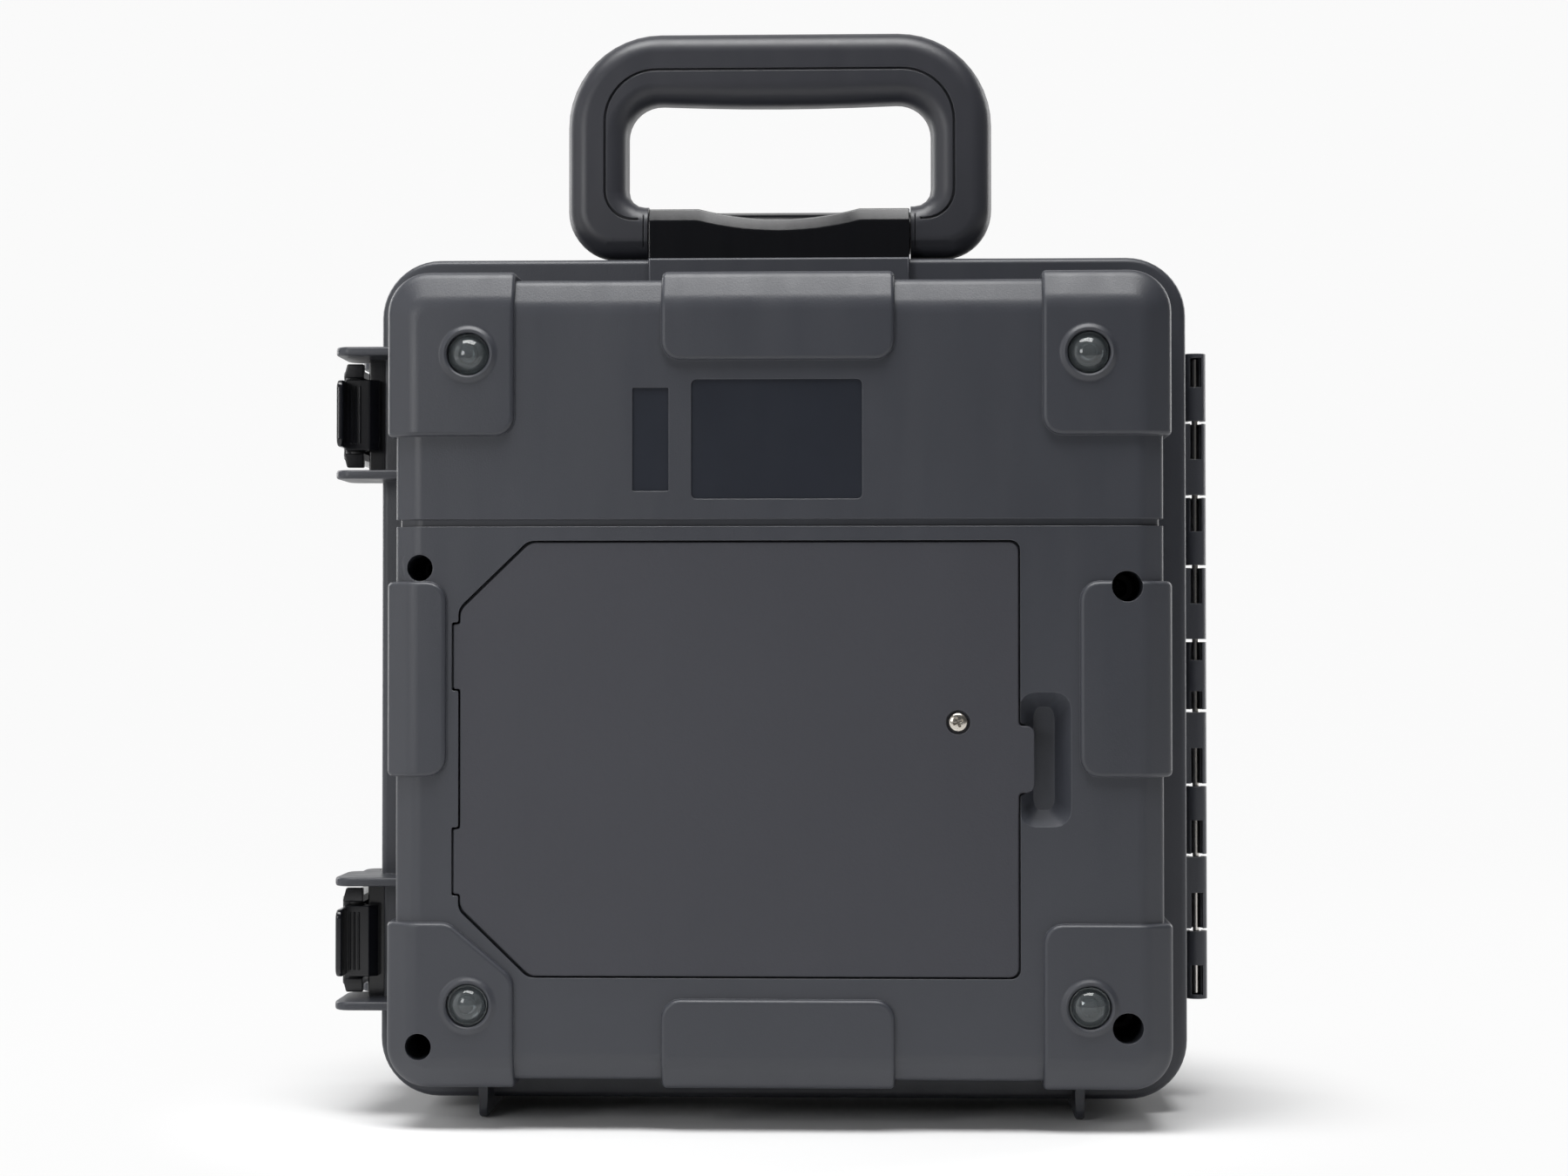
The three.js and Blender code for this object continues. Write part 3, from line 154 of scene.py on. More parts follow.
# A line of points, drawn by extruding one vertex from point to point
def drawLine(points):
    clearSelection()
    bpy.ops.mesh.primitive_plane_add(size=mm, location=points[0])
    bpy.ops.object.mode_set(mode="EDIT")
    bpy.ops.mesh.select_mode(type="VERT")
    bpy.ops.mesh.select_all(action="SELECT")
    bpy.ops.mesh.merge(type="CENTER")
    for before, after in zip(points, points[1:]):
        bpy.ops.mesh.extrude_region_move(TRANSFORM_OT_translate={"value": after - before})
    bpy.ops.mesh.select_all(action="SELECT")


# A plate from its outline. A corner is (u, v) or (u, v, radius)
def drawPlate(name, axis, corners, start, end):
    drawLine([across(axis, corner[0], corner[1], start) for corner in corners])
    bpy.ops.mesh.edge_face_add()
    bpy.ops.mesh.extrude_region_move(TRANSFORM_OT_translate={"value": axes[axis] * ((end - start) * mm)})
    bpy.ops.object.mode_set(mode="OBJECT")
    piece = turnFacesOut(settle(name))
    reaches = {}
    for before, corner, after in zip(corners[-1:] + corners[:-1], corners, corners[1:] + corners[:1]):
        if len(corner) < 3:
            continue
        here = Vector(corner[:2])
        bend = (Vector(before[:2]) - here).angle(Vector(after[:2]) - here)
        reach = round(corner[2] / math.tan(bend / 2), 4)
        reaches.setdefault((reach, corner[2]), []).append(across(axis, *corner[:2], 0))
    for (reach, radius), places in reaches.items():
        def atCorner(a, b, angle):
            ends = [place for place in places if all(
                abs((spot(*end) - place).dot(other)) < close * mm
                for end in (a, b) for key, other in axes.items() if key != axis)]
            return bool(ends) and abs((spot(*a) - spot(*b)).dot(axes[axis])) > 0.5 * abs(end - start) * mm
        bevelWhere(piece, atCorner, reach, max(4, min(12, round(radius * 0.9))))
    return piece


# Scales the end of a block that faces the lid, in x and z, about a place
def scaleEnd(piece, shareX, shareZ, centre):
    chooseFaces(piece, lambda middle, normal: normal.y > 0.9)
    bpy.ops.transform.resize(value=(shareX, 1, shareZ), center_override=spot(*centre))
    bpy.ops.object.mode_set(mode="OBJECT")


# Rounds the edges that lie at a plane across y
def roundAt(piece, y, width, segments):
    return bevelWhere(piece, lambda a, b, angle: abs(a.y - y) + abs(b.y - y) < close, width, segments)


# A turned shape about an axis along Y, from its profile of (radius, y)
def turnPiece(name, profile, x, z, steps=48):
    drawLine([spot(x + radius, y, z) for radius, y in profile])
    bpy.ops.mesh.spin(steps=steps, angle=2 * math.pi, center=spot(x, 0, z), axis=(0, 1, 0))
    bpy.ops.object.mode_set(mode="OBJECT")
    return turnFacesOut(settle(name))


def combine(piece, tool, operation="UNION", solver="MANIFOLD"):
    focus(piece)
    bpy.ops.object.modifier_add(type="BOOLEAN")
    boolean = piece.modifiers[-1]
    boolean.object = tool
    boolean.operation = operation
    boolean.solver = solver
    bpy.ops.object.modifier_apply(modifier=boolean.name)
    bpy.data.objects.remove(tool, do_unlink=True)
    return piece


def cut(piece, tool):
    return combine(piece, tool, "DIFFERENCE")


def copyPiece(piece, name, x=0, z=0):
    focus(piece)
    bpy.ops.object.duplicate()
    bpy.ops.transform.translate(value=(x * mm, 0, z * mm))
    return settle(name)


# Copies a model to each place, finishes every copy with its number, and removes the model
def layOut(model, name, moves, finish):
    for number, (x, z) in enumerate(moves, 1):
        finish(copyPiece(model, name + str(number), x, z), number)
    bpy.data.objects.remove(model, do_unlink=True)


# Flat faces stay flat and only the small steps of a curve are shaded smooth
def smoothPiece(piece, angle=35):
    focus(piece)
    bpy.ops.object.mode_set(mode="EDIT")
    bpy.ops.mesh.select_all(action="SELECT")
    bpy.ops.mesh.remove_doubles(threshold=weld * mm)
    bpy.ops.mesh.dissolve_limited(angle_limit=math.radians(0.4))
    bpy.ops.object.mode_set(mode="OBJECT")
    bpy.ops.object.shade_smooth_by_angle(angle=math.radians(angle))
    bpy.ops.object.modifier_add(type="WEIGHTED_NORMAL")
    weighted = piece.modifiers[-1]
    weighted.keep_sharp = True
    bpy.ops.object.modifier_apply(modifier=weighted.name)
    return piece


# Turns the chosen piece about a place, and names it
def swivel(name, axis, degrees, centre):
    bpy.ops.transform.rotate(value=math.radians(degrees), orient_axis=axis, center_override=spot(*centre))
    return settle(name)


def finishPiece(piece, body, slot, material, *nodes):
    piece.data.materials.clear()
    piece.data.materials.append(material)
    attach(piece, body)
    if nodes:
        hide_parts(*nodes)
    return piece


# Gives some of a piece's faces a finish of their own
def finishFaces(piece, material, test):
    piece.data.materials.append(material)
    chooseFaces(piece, test)
    piece.active_material_index = len(piece.data.materials) - 1
    bpy.ops.object.material_slot_assign()
    bpy.ops.object.mode_set(mode="OBJECT")


def paint(material, *nodes):
    for node in nodes:
        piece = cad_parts[node]
        for place in piece.material_slots:
            place.material = material


# The camera stands where the photograph was taken from
camera = {"place": (0.0319, -0.9149, 0.1403), "yaw": -1.913, "pitch": 0.979, "roll": -0.019, "lens": 69.16}


def addCamera(camera):
    yaw, pitch, roll = (math.radians(camera[key]) for key in ("yaw", "pitch", "roll"))
    ahead = Vector((math.sin(yaw) * math.cos(pitch), math.cos(yaw) * math.cos(pitch), math.sin(pitch)))
    right = Vector((math.cos(yaw), -math.sin(yaw), 0))
    up = right.cross(ahead)
    right, up = right * math.cos(roll) + up * math.sin(roll), up * math.cos(roll) - right * math.sin(roll)
    turn = Matrix((right, up, -ahead)).transposed().to_4x4()
    bpy.ops.object.camera_add()
    view = bpy.context.object
    view.matrix_world = Matrix.Translation(camera["place"]) @ turn
    view.data.lens = camera["lens"]
    view.data.sensor_width = 36
    view.data.clip_start = 0.01
    view.data.clip_end = 50
    bpy.context.scene.camera = view


addCamera(camera)
print("camera placed")


# One function adds every node, with its settings and links
def addNode(tree, kind, settings=None, links=None):
    node = tree.nodes.new(kind)
    for key, value in (settings or {}).items():
        if isinstance(key, str) and key in node.bl_rna.properties:
            setattr(node, key, value)
        else:
            node.inputs[key].default_value = value
    for key, source in (links or {}).items():
        tree.links.new(source, node.inputs[key])
    return node


def toLinear(hexColour):
    channels = [int(hexColour[start:start + 2], 16) / 255 for start in (1, 3, 5)]
    return [c / 12.92 if c <= 0.04045 else ((c + 0.055) / 1.055) ** 2.4 for c in channels] + [1]


def newMaterial(name):
    material = bpy.data.materials.new(name)
    material.use_nodes = True
    material.node_tree.nodes.clear()
    return material, material.node_tree


# What most of the mouldings have alike, with lengths in millimetres. Each finish names what it has of its own
moulded = {"edgeWearAndHighlightShare": 0.3, "cloud": 10, "grain": 0.4, "grainStrength": 0.15, "grainHeight": 0.05, "edge": 0.3,
           "rub": 6, "rubbed": 0.05, "roughness": 0.4, "ior": 1.54}


# Moulded plastics and rubbers: a base colour that drifts slowly, an eroded grain, rub marks, and sharp edges
# shifted towards an edge colour, mostly paler, which is partly wear and partly a painted highlight.
# A tool's grain is about 0.1 mm, too fine to show, so it is drawn three to seven times as coarse
def mouldedFinish(name, look):
    look = {**moulded, **look}
    material, tree = newMaterial(name)
    place = addNode(tree, "ShaderNodeTexCoord").outputs["Object"]
    cloud = addNode(tree, "ShaderNodeTexNoise",
                    {"Scale": 1 / (look["cloud"] * mm), "Detail": 3}, {"Vector": place})
    grain = addNode(tree, "ShaderNodeTexNoise",
                    {"Scale": 1 / (look["grain"] * mm), "Detail": 2, "Roughness": 0.6}, {"Vector": place})
    tone = addNode(tree, "ShaderNodeMix",
                   {"data_type": "RGBA", 6: toLinear(look["colour"]), 7: toLinear(look["drift"])},
                   {0: cloud.outputs[0]})
    rounded = addNode(tree, "ShaderNodeBevel", {"samples": 4, "Radius": look["edge"] * mm})
    surface = addNode(tree, "ShaderNodeNewGeometry")
    bend = addNode(tree, "ShaderNodeVectorMath", {"operation": "DOT_PRODUCT"},
                   {0: rounded.outputs["Normal"], 1: surface.outputs["Normal"]})
    # Edge mask: sharp edges take the edge colour, partly as wear and partly as a painted highlight
    edgeWearAndHighlight = addNode(tree, "ShaderNodeMapRange",
                   {"From Min": 0.995, "From Max": 0.8, "To Max": look["edgeWearAndHighlightShare"]},
                   {"Value": bend.outputs["Value"]})
    colour = addNode(tree, "ShaderNodeMix", {"data_type": "RGBA", 7: toLinear(look["edgeWearAndHighlight"])},
                     {0: edgeWearAndHighlight.outputs[0], 6: tone.outputs[2]})
    stretched = addNode(tree, "ShaderNodeMapping", {"Scale": (1, 1, 0.12)}, {"Vector": place})
    rubs = addNode(tree, "ShaderNodeTexNoise",
                   {"Scale": 1 / (look["rub"] * mm), "Detail": 4, "Roughness": 0.65},
                   {"Vector": stretched.outputs[0]})
    gloss = addNode(tree, "ShaderNodeMapRange",
                    {"From Min": 0.35, "From Max": 0.75, "To Min": look["roughness"] + look["rubbed"],
                     "To Max": look["roughness"] - look["rubbed"]}, {"Value": rubs.outputs[0]})
    bump = addNode(tree, "ShaderNodeBump",
                   {"Strength": look["grainStrength"], "Distance": look["grainHeight"] * mm},
                   {"Height": grain.outputs[0], "Normal": rounded.outputs["Normal"]})
    shader = addNode(
        tree, "ShaderNodeBsdfPrincipled", {"IOR": look["ior"]},
        {"Base Color": colour.outputs[2], "Roughness": gloss.outputs[0], "Normal": bump.outputs[0]})
    addNode(tree, "ShaderNodeOutputMaterial", None, {"Surface": shader.outputs[0]})
    return material


# Metals: fine marks of drawing or turning in the roughness and the height, drawn coarse enough to show
def metalFinish(name, look):
    material, tree = newMaterial(name)
    place = addNode(tree, "ShaderNodeTexCoord").outputs["Object"]
    stretched = addNode(tree, "ShaderNodeMapping", {"Scale": look["stretch"]}, {"Vector": place})
    marks = addNode(tree, "ShaderNodeTexNoise", {"Scale": 1 / (look["mark"] * mm), "Detail": 3},
                    {"Vector": stretched.outputs[0]})
    tone = addNode(tree, "ShaderNodeMix",
                   {"data_type": "RGBA", 6: toLinear(look["colour"]), 7: toLinear(look["drift"])},
                   {0: marks.outputs[0]})
    gloss = addNode(tree, "ShaderNodeMapRange",
                    {"To Min": look["roughness"] - 0.08, "To Max": look["roughness"] + 0.1},
                    {"Value": marks.outputs[0]})
    rounded = addNode(tree, "ShaderNodeBevel", {"samples": 4, "Radius": look["edge"] * mm})
    bump = addNode(tree, "ShaderNodeBump", {"Strength": 0.25, "Distance": 0.02 * mm},
                   {"Height": marks.outputs[0], "Normal": rounded.outputs["Normal"]})
    shader = addNode(
        tree, "ShaderNodeBsdfPrincipled", {"Metallic": 1},
        {"Base Color": tone.outputs[2], "Roughness": gloss.outputs[0], "Normal": bump.outputs[0]})
    addNode(tree, "ShaderNodeOutputMaterial", None, {"Surface": shader.outputs[0]})
    return material


# Clear mouldings: light passes through, with faint moulding ripples
def clearFinish(name, look):
    material, tree = newMaterial(name)
    place = addNode(tree, "ShaderNodeTexCoord").outputs["Object"]
    ripple = addNode(tree, "ShaderNodeTexNoise", {"Scale": 1 / (look["ripple"] * mm), "Detail": 2},
                     {"Vector": place})
    bump = addNode(tree, "ShaderNodeBump", {"Strength": look["strength"], "Distance": 0.1 * mm},
                   {"Height": ripple.outputs[0]})
    shader = addNode(
        tree, "ShaderNodeBsdfPrincipled",
        {"Base Color": toLinear(look["colour"]), "Roughness": look["roughness"], "IOR": look["ior"],
         "Transmission Weight": look["clear"]}, {"Normal": bump.outputs[0]})
    addNode(tree, "ShaderNodeOutputMaterial", None, {"Surface": shader.outputs[0]})
    return material


# Charcoal ABS moulded against a spark-eroded tool: an even satin with a fine grain
caseAbs = mouldedFinish("charcoalAbsEroded", {
    "colour": "#35373d", "drift": "#3a3c43", "edgeWearAndHighlight": "#74767c", "edgeWearAndHighlightShare": 0.4, "cloud": 45, "grain": 0.5,
    "grainStrength": 0.3, "grainHeight": 0.12, "edge": 0.35, "rub": 9, "roughness": 0.41})
# The cover's ABS has a coarser grain, which leaves it flatter
coverAbs = mouldedFinish("charcoalAbsCoarse", {
    "colour": "#33343b", "drift": "#383940", "edgeWearAndHighlight": "#76777c", "edgeWearAndHighlightShare": 0.45, "cloud": 60, "grain": 0.7,
    "grainStrength": 0.5, "grainHeight": 0.16, "rub": 12, "rubbed": 0.04, "roughness": 0.55})
# Latches and other small mouldings: near-black ABS from a finer tool, with a soft shine. The base's catch
# bars take it too, as painted shade
darkAbsAndCatchShade = mouldedFinish("darkAbsFineAndCatchShade", {
    "colour": "#0d0e13", "drift": "#111218", "edgeWearAndHighlight": "#34363d", "edgeWearAndHighlightShare": 0.35, "cloud": 12, "grain": 0.35,
    "rub": 5, "rubbed": 0.03, "roughness": 0.2})
# The handle's satin ABS, polished a little by hands
gripAbs = mouldedFinish("satinAbsHandle", {
    "colour": "#2d2e34", "drift": "#323339", "edgeWearAndHighlight": "#5c5e64", "edgeWearAndHighlightShare": 0.35, "cloud": 30, "grain": 0.3,
    "edge": 0.4, "rub": 8, "rubbed": 0.04})
# Polished black ABS, almost a mirror, with faint flow marks
glossAbs = mouldedFinish("polishedBlackAbs", {
    "colour": "#07080c", "drift": "#0a0b10", "edgeWearAndHighlight": "#3a3c42", "cloud": 20, "grain": 1.5,
    "grainStrength": 0.03, "edge": 0.35, "rubbed": 0.03, "roughness": 0.18})
# Label floors, moulded against a polished part of the tool: smoother and bluer than the case
labelAbs = mouldedFinish("polishedLabelFloor", {
    "colour": "#24272e", "drift": "#282b33", "edgeWearAndHighlight": "#3a3c42", "edgeWearAndHighlightShare": 0.1, "cloud": 20, "grain": 1.2,
    "grainStrength": 0.04, "edge": 0.2, "rubbed": 0.03, "roughness": 0.24})
# The inside panel's flat ABS with a fine grain
panelAbs = mouldedFinish("panelAbsFine", {
    "colour": "#34363a", "drift": "#393b3f", "edgeWearAndHighlight": "#5b5d62", "cloud": 40, "grain": 0.35,
    "grainStrength": 0.25, "grainHeight": 0.08, "edge": 0.35, "rub": 10, "rubbed": 0.04, "roughness": 0.5})
# Silicone keys: soft-looking, without a sharp highlight
keyRubber = mouldedFinish("siliconeGrey", {
    "colour": "#5b5f65", "drift": "#62666c", "edgeWearAndHighlight": "#7c8087", "edgeWearAndHighlightShare": 0.2, "edge": 0.5, "rub": 4,
    "roughness": 0.6, "ior": 1.43})
# The test button's silicone is coloured right through, and a little smoother
testRubber = mouldedFinish("siliconeOrange", {
    "colour": "#b5522c", "drift": "#c05d36", "edgeWearAndHighlight": "#d08058", "edgeWearAndHighlightShare": 0.2, "edge": 0.5, "rub": 4,
    "roughness": 0.5, "ior": 1.43})
# White pad-printed marks
markPaint = mouldedFinish("whiteMarkPaint", {
    "colour": "#c8cacb", "drift": "#cfd1d2", "edgeWearAndHighlight": "#8f9193", "cloud": 4, "grain": 0.3,
    "grainStrength": 0.1, "grainHeight": 0.03, "edge": 0.1, "rub": 3, "roughness": 0.5, "ior": 1.5})
# Foamed rubber: dull black with open pores
sealRubber = mouldedFinish("foamedSealRubber", {
    "colour": "#17171a", "drift": "#1d1d20", "edgeWearAndHighlight": "#2c2c2e", "edgeWearAndHighlightShare": 0.2, "cloud": 8, "grain": 0.5,
    "grainStrength": 0.5, "grainHeight": 0.15, "edge": 0.4, "rubbed": 0.03, "roughness": 0.85, "ior": 1.5})
# Polyamide of the sockets: a plain dark satin
socketPlastic = mouldedFinish("socketPolyamide", {
    "colour": "#1c1c20", "drift": "#222226", "edgeWearAndHighlight": "#48484c", "cloud": 8, "rub": 5, "rubbed": 0.04,
    "ior": 1.53})
# Solder mask on glass epoxy: green and faintly glossy
boardLaminate = mouldedFinish("glassEpoxyBoard", {
    "colour": "#1d5236", "drift": "#225c3e", "edgeWearAndHighlight": "#4c7a5c", "cloud": 6, "grain": 0.6,
    "grainStrength": 0.1, "grainHeight": 0.04, "edge": 0.2, "ior": 1.5})
# Shrink sleeve of the cells: a tight glossy film
cellSleeve = mouldedFinish("cellSleeveFilm", {
    "colour": "#3d4a63", "drift": "#445270", "edgeWearAndHighlight": "#7a8496", "cloud": 15, "grain": 0.8,
    "grainStrength": 0.05, "grainHeight": 0.04, "rub": 5, "roughness": 0.3, "ior": 1.5})
# Reflective liquid crystal behind glass: an even grey-green
displayGlass = mouldedFinish("liquidCrystalGlass", {
    "colour": "#7f8a77", "drift": "#87927e", "edgeWearAndHighlight": "#98a38f", "edgeWearAndHighlightShare": 0.2, "cloud": 30, "grain": 0.8,
    "grainStrength": 0.02, "grainHeight": 0.02, "edge": 0.2, "rub": 20, "rubbed": 0.02, "roughness": 0.2,
    "ior": 1.52})
# Nickel plate, bright where a driver has worked it
nickel = metalFinish("nickelPlate", {
    "colour": "#dcd7cf", "drift": "#c4bdb2", "mark": 0.5, "stretch": (1, 1, 1), "roughness": 0.24,
    "edge": 0.1})
# Near-black metal on the case screws: painted shade, so that their deep wells stay dark
paintedWellShadeMetal = metalFinish("wellShadeScrewMetal", {
    "colour": "#232224", "drift": "#1b1a1c", "mark": 0.5, "stretch": (1, 1, 1), "roughness": 0.35,
    "edge": 0.1})
# Drawn stainless wire, streaked along its length
stainless = metalFinish("stainlessDrawn", {
    "colour": "#dedbd6", "drift": "#c4c0ba", "mark": 0.3, "stretch": (1, 1, 0.08), "roughness": 0.18,
    "edge": 0.1})
# Clear soft polyurethane: glassy, and dark where it shows the moulding behind
clearRubber = clearFinish("clearPolyurethane", {
    "colour": "#b2babd", "roughness": 0.04, "ior": 1.49, "clear": 0.9, "ripple": 6, "strength": 0.05})
# Flat polycarbonate window over the display
windowClear = clearFinish("windowPolycarbonate", {
    "colour": "#f2f5f6", "roughness": 0.02, "ior": 1.58, "clear": 1, "ripple": 20, "strength": 0.03})
print("materials made")


# Both halves of the case are one form: a body with a chamfered back, a wider rim, bumper pads and fins
case = {
    "rimWidth": 240, "rimHeight": 250, "rimRadius": 17.5, "rimEdge": 1.8, "rimWall": 5, "middleZ": 129,
    "wall": 3, "bodyInset": 9.9, "bodyInsetTop": 10.35, "bodyRadius": 9.6, "draft": 0.3, "insideEdge": 6.2,
    "backEdge": 8.2, "backGrowth": 0.7, "backRound": 0.6, "backDepth": 0.62, "topExtra": 2.5, "padRise": 2.4,
    "padFaceRise": 1.8, "padCorner": 5.5, "padBorder": 1.3, "padChamfer": (18.6, 15.5),
    "cornerPad": (37, 47.5), "endPad": (66.7, 25.9), "sidePadWidths": (17.6, 26.5), "sidePadHeight": 55.8,
    "padOver": 4, "finAt": 87.3, "finThickness": 2.7, "finTop": 17.4, "finCorner": 3, "finEdge": 0.7,
    "finRounded": 14, "groove": (172.65, 174.75), "grooveDepth": 1.2, "parting": 0.25}
halfX = case["rimWidth"] / 2 - case["bodyInset"]
halfZ = case["rimHeight"] / 2 - case["bodyInsetTop"]
middleZ = case["middleZ"]
rimHalf = case["rimWidth"] / 2
rimTop = middleZ + case["rimHeight"] / 2


def rectangle(x, z, width, height, radius=None):
    corners = [(x - width / 2, z - height / 2), (x + width / 2, z - height / 2),
               (x + width / 2, z + height / 2), (x - width / 2, z + height / 2)]
    return [corner + (radius,) for corner in corners] if radius else corners


# The chamfer's section, in shares of its width: a round outer edge, a flat, and a round crease at the face
def chamferSteps(rounding, segments=5):
    angles = [math.radians(45 * step / segments) for step in range(segments + 1)]
    outer = [(rounding * (1 - math.cos(angle)), rounding * math.sin(angle)) for angle in angles]
    section = outer + [(1 - y, 1 - x) for x, y in reversed(outer)]
    return [(b[0] - a[0], b[1] - a[1]) for a, b in zip(section, section[1:])]


# A body with a broad soft chamfer round its back, from the face to the end, grown by some millimetres
def bodyBlock(name, face, end, grow):
    corners = rectangle(0, middleZ, 2 * (halfX + grow), 2 * (halfZ + grow), case["bodyRadius"] + grow)
    width = case["backEdge"] + case["backGrowth"] * grow
    depth = width * case["backDepth"]
    block = drawPlate(name, "y", corners, face + depth, end)
    drafted = 1 + case["draft"] / halfX
    scaleEnd(block, drafted, drafted, (0, end, middleZ))
    chooseFaces(block, lambda middle, normal: normal.y < -0.9)
    for inward, forward in chamferSteps(case["backRound"]):
        bpy.ops.mesh.inset(thickness=inward * width * mm, depth=forward * depth * mm)
        shorter = 1 - case["topExtra"] * inward / (2 * halfZ)
        bpy.ops.transform.resize(value=(1, 1, shorter),
                                 center_override=spot(0, face, middleZ - halfZ + width))
    bpy.ops.object.mode_set(mode="OBJECT")
    return turnFacesOut(block)


def cornerPadOutline(signX, signZ, chamfered):
    width, height = case["cornerPad"]
    inX = signX * (halfX + case["padRise"] - width)
    inZ = middleZ + signZ * (halfZ + case["padRise"] - height)
    outX, outZ, corner = signX * (halfX + 2 * past), middleZ + signZ * (halfZ + 2 * past), case["padCorner"]
    if not chamfered:
        return [(outX, outZ), (inX, outZ), (inX, inZ, corner), (outX, inZ)]
    run, rise = case["padChamfer"]
    return [(outX, outZ), (inX, outZ), (inX, inZ + signZ * rise, corner), (inX + signX * run, inZ, corner),
            (outX, inZ)]


# Outlines across y. They run over the body's edge, which the pads follow
def padOutlines(isBase):
    outlines = [cornerPadOutline(x, z, isBase and x < 0 and z < 0) for x in (-1, 1) for z in (-1, 1)]
    if isBase:
        over, corner = case["padOver"], case["padCorner"]
        for sign, sideWidth in zip((-1, 1), case["sidePadWidths"]):
            width, height = case["endPad"]
            z = middleZ + sign * (halfZ + case["padRise"] + (over - height) / 2)
            outlines.append(rectangle(0, z, width, height + over, corner))
            x = sign * (halfX + case["padRise"] + (over - sideWidth) / 2)
            outlines.append(rectangle(x, middleZ, sideWidth + over, case["sidePadHeight"], corner))
    return outlines


def caseHalf(name, depth, rimDepth, finDepth, isBase):
    face = -(depth - case["padFaceRise"])
    half = bodyBlock(name, face, sink - rimDepth, 0)
    corners = rectangle(0, middleZ, case["rimWidth"], case["rimHeight"], case["rimRadius"])
    combine(half, roundAt(drawPlate("rim", "y", corners, -rimDepth, 0), -rimDepth, case["rimEdge"], 4))
    if isBase:
        low, high = case["groove"]
        band = addBox("groove", (-rimHalf, -depth, low), (rimHalf, -rimDepth, high))
        cut(band, bodyBlock("grooveFloor", face + case["grooveDepth"], past - rimDepth, -case["grooveDepth"]))
        cut(half, band)
    for outline in padOutlines(isBase):
        pad = bodyBlock("pad", -depth, sink - rimDepth, case["padRise"])
        combine(pad, drawPlate("padOutline", "y", outline, -depth - past, 0), "INTERSECT", "EXACT")
        bevelWhere(pad, lambda a, b, angle: angle > 40 and min(a.y, b.y) < -rimDepth, case["padBorder"], 4)
        combine(half, pad)
    back, top, thick = -case["parting"], case["finTop"], case["finThickness"] / 2
    for x in (-case["finAt"], case["finAt"]):
        corners = [(-finDepth, 0, case["finCorner"]), (back, 0), (back, top), (-finDepth, top)]
        fin = drawPlate("fin", "x", corners, x - thick, x + thick)
        bevelWhere(fin, lambda a, b, angle: angle > 40 and max(a.z, b.z) < case["finRounded"],
                   case["finEdge"], 3)
        combine(half, fin)
    return half


# The room inside, wider where the rim is
def hollowOf(depth, rimDepth):
    wall, rimWall = case["wall"], case["rimWall"]
    floor = -(depth - case["padFaceRise"]) + wall
    corners = rectangle(0, middleZ, 2 * (halfX - wall), 2 * (halfZ - wall), case["bodyRadius"] - wall)
    body = roundAt(drawPlate("hollow", "y", corners, floor, past), floor, case["insideEdge"], 4)
    corners = rectangle(0, middleZ, case["rimWidth"] - 2 * rimWall, case["rimHeight"] - 2 * rimWall,
                        case["rimRadius"] - rimWall)
    return combine(body, drawPlate("rimRoom", "y", corners, wall - rimDepth, past))


# Hinge knuckles: half of each wraps the pin from the back and half from the front
hinge = {
    "radius": 3.3, "standOff": 5.6, "pitch": 22.05, "extra": 0.6, "gap": 0.9, "count": 9, "rise": 0.2,
    "bore": 1.35, "cap": 1.2, "slot": 3.6, "slotFloor": 0.4, "middleShare": 0.27, "pin": 1, "pinEdge": 0.25}
hingeX = rimHalf + hinge["standOff"]


def knuckle(index, side):
    length = hinge["pitch"] - hinge["gap"] - side * hinge["extra"]
    middle = (hinge["count"] - 1) / 2
    z = middleZ + hinge["rise"] + (index - middle) * hinge["pitch"]
    low, high, radius, half = z - length / 2, z + length / 2, hinge["radius"], hinge["slot"] / 2
    barrel = addRound("knuckle", "z", radius, (hingeX, 0), low, high, 40)
    near, far = sorted((side * case["parting"], side * radius))
    combine(barrel, addBox("web", (rimHalf - sink, near, low), (hingeX, far, high)))
    boreLow = low + hinge["cap"] if index == 0 else low - past
    boreHigh = high - hinge["cap"] if index == hinge["count"] - 1 else high + past
    cut(barrel, addRound("bore", "z", hinge["bore"], (hingeX, 0), boreLow, boreHigh, 24))
    share = hinge["middleShare"] * length
    if index == middle:
        windows = [(low - past, low + share, -1), (low + share, high - share, 1),
                   (high - share, high + past, -1)]
    elif index > middle:
        windows = [(z, boreHigh, -1), (boreLow, z, 1)]
    else:
        windows = [(boreLow, z, -1), (z, boreHigh, 1)]
    for start, end, facing in windows:
        near, far = sorted((facing * hinge["slotFloor"], facing * (radius + past)))
        cut(barrel, addBox("slot", (hingeX - half, near, start), (hingeX + half, far, end)))
    return barrel


# Battery cover outline, shared by the cover, its pocket and the ledge behind it
cover = {
    "x": -11.2, "z": 106.15, "width": 160.6, "height": 124.9, "thickness": 2.6, "dip": 0.3, "corner": 2.7,
    "chamfer": (20, 19.3), "chamferRound": 4, "gap": 0.45, "tabReach": 1.9, "tabLength": 19.6,
    "tabSpread": 29.3, "tabCorner": 0.6, "pullReach": 4.5, "pullLength": 19.9, "pullCorner": 2.3,
    "tongueReach": 2.4, "tongue": 1.2, "tongueGap": 0.4, "tongueRoom": (1.9, 5.5), "screw": (51.4, 116.7),
    "screwHole": 1.8, "counterbore": 3.5, "boreDepth": 1.3, "edge": 0.45, "ledge": 2.8, "ledgeGrow": 2.2,
    "openingIn": 4.5}
baseDepth = 69.5
baseFace = -(baseDepth - case["padFaceRise"])
coverFront = baseFace + cover["dip"]
coverBack = coverFront + cover["thickness"]
pocketFloor = coverBack + seat
ledgeBack = pocketFloor + cover["ledge"]
coverLeft, coverRight = cover["x"] - cover["width"] / 2, cover["x"] + cover["width"] / 2
tabHeights = [cover["z"] + sign * cover["tabSpread"] for sign in (-1, 1)]
tongueLeft = coverLeft - cover["tabReach"] - cover["tongueReach"]


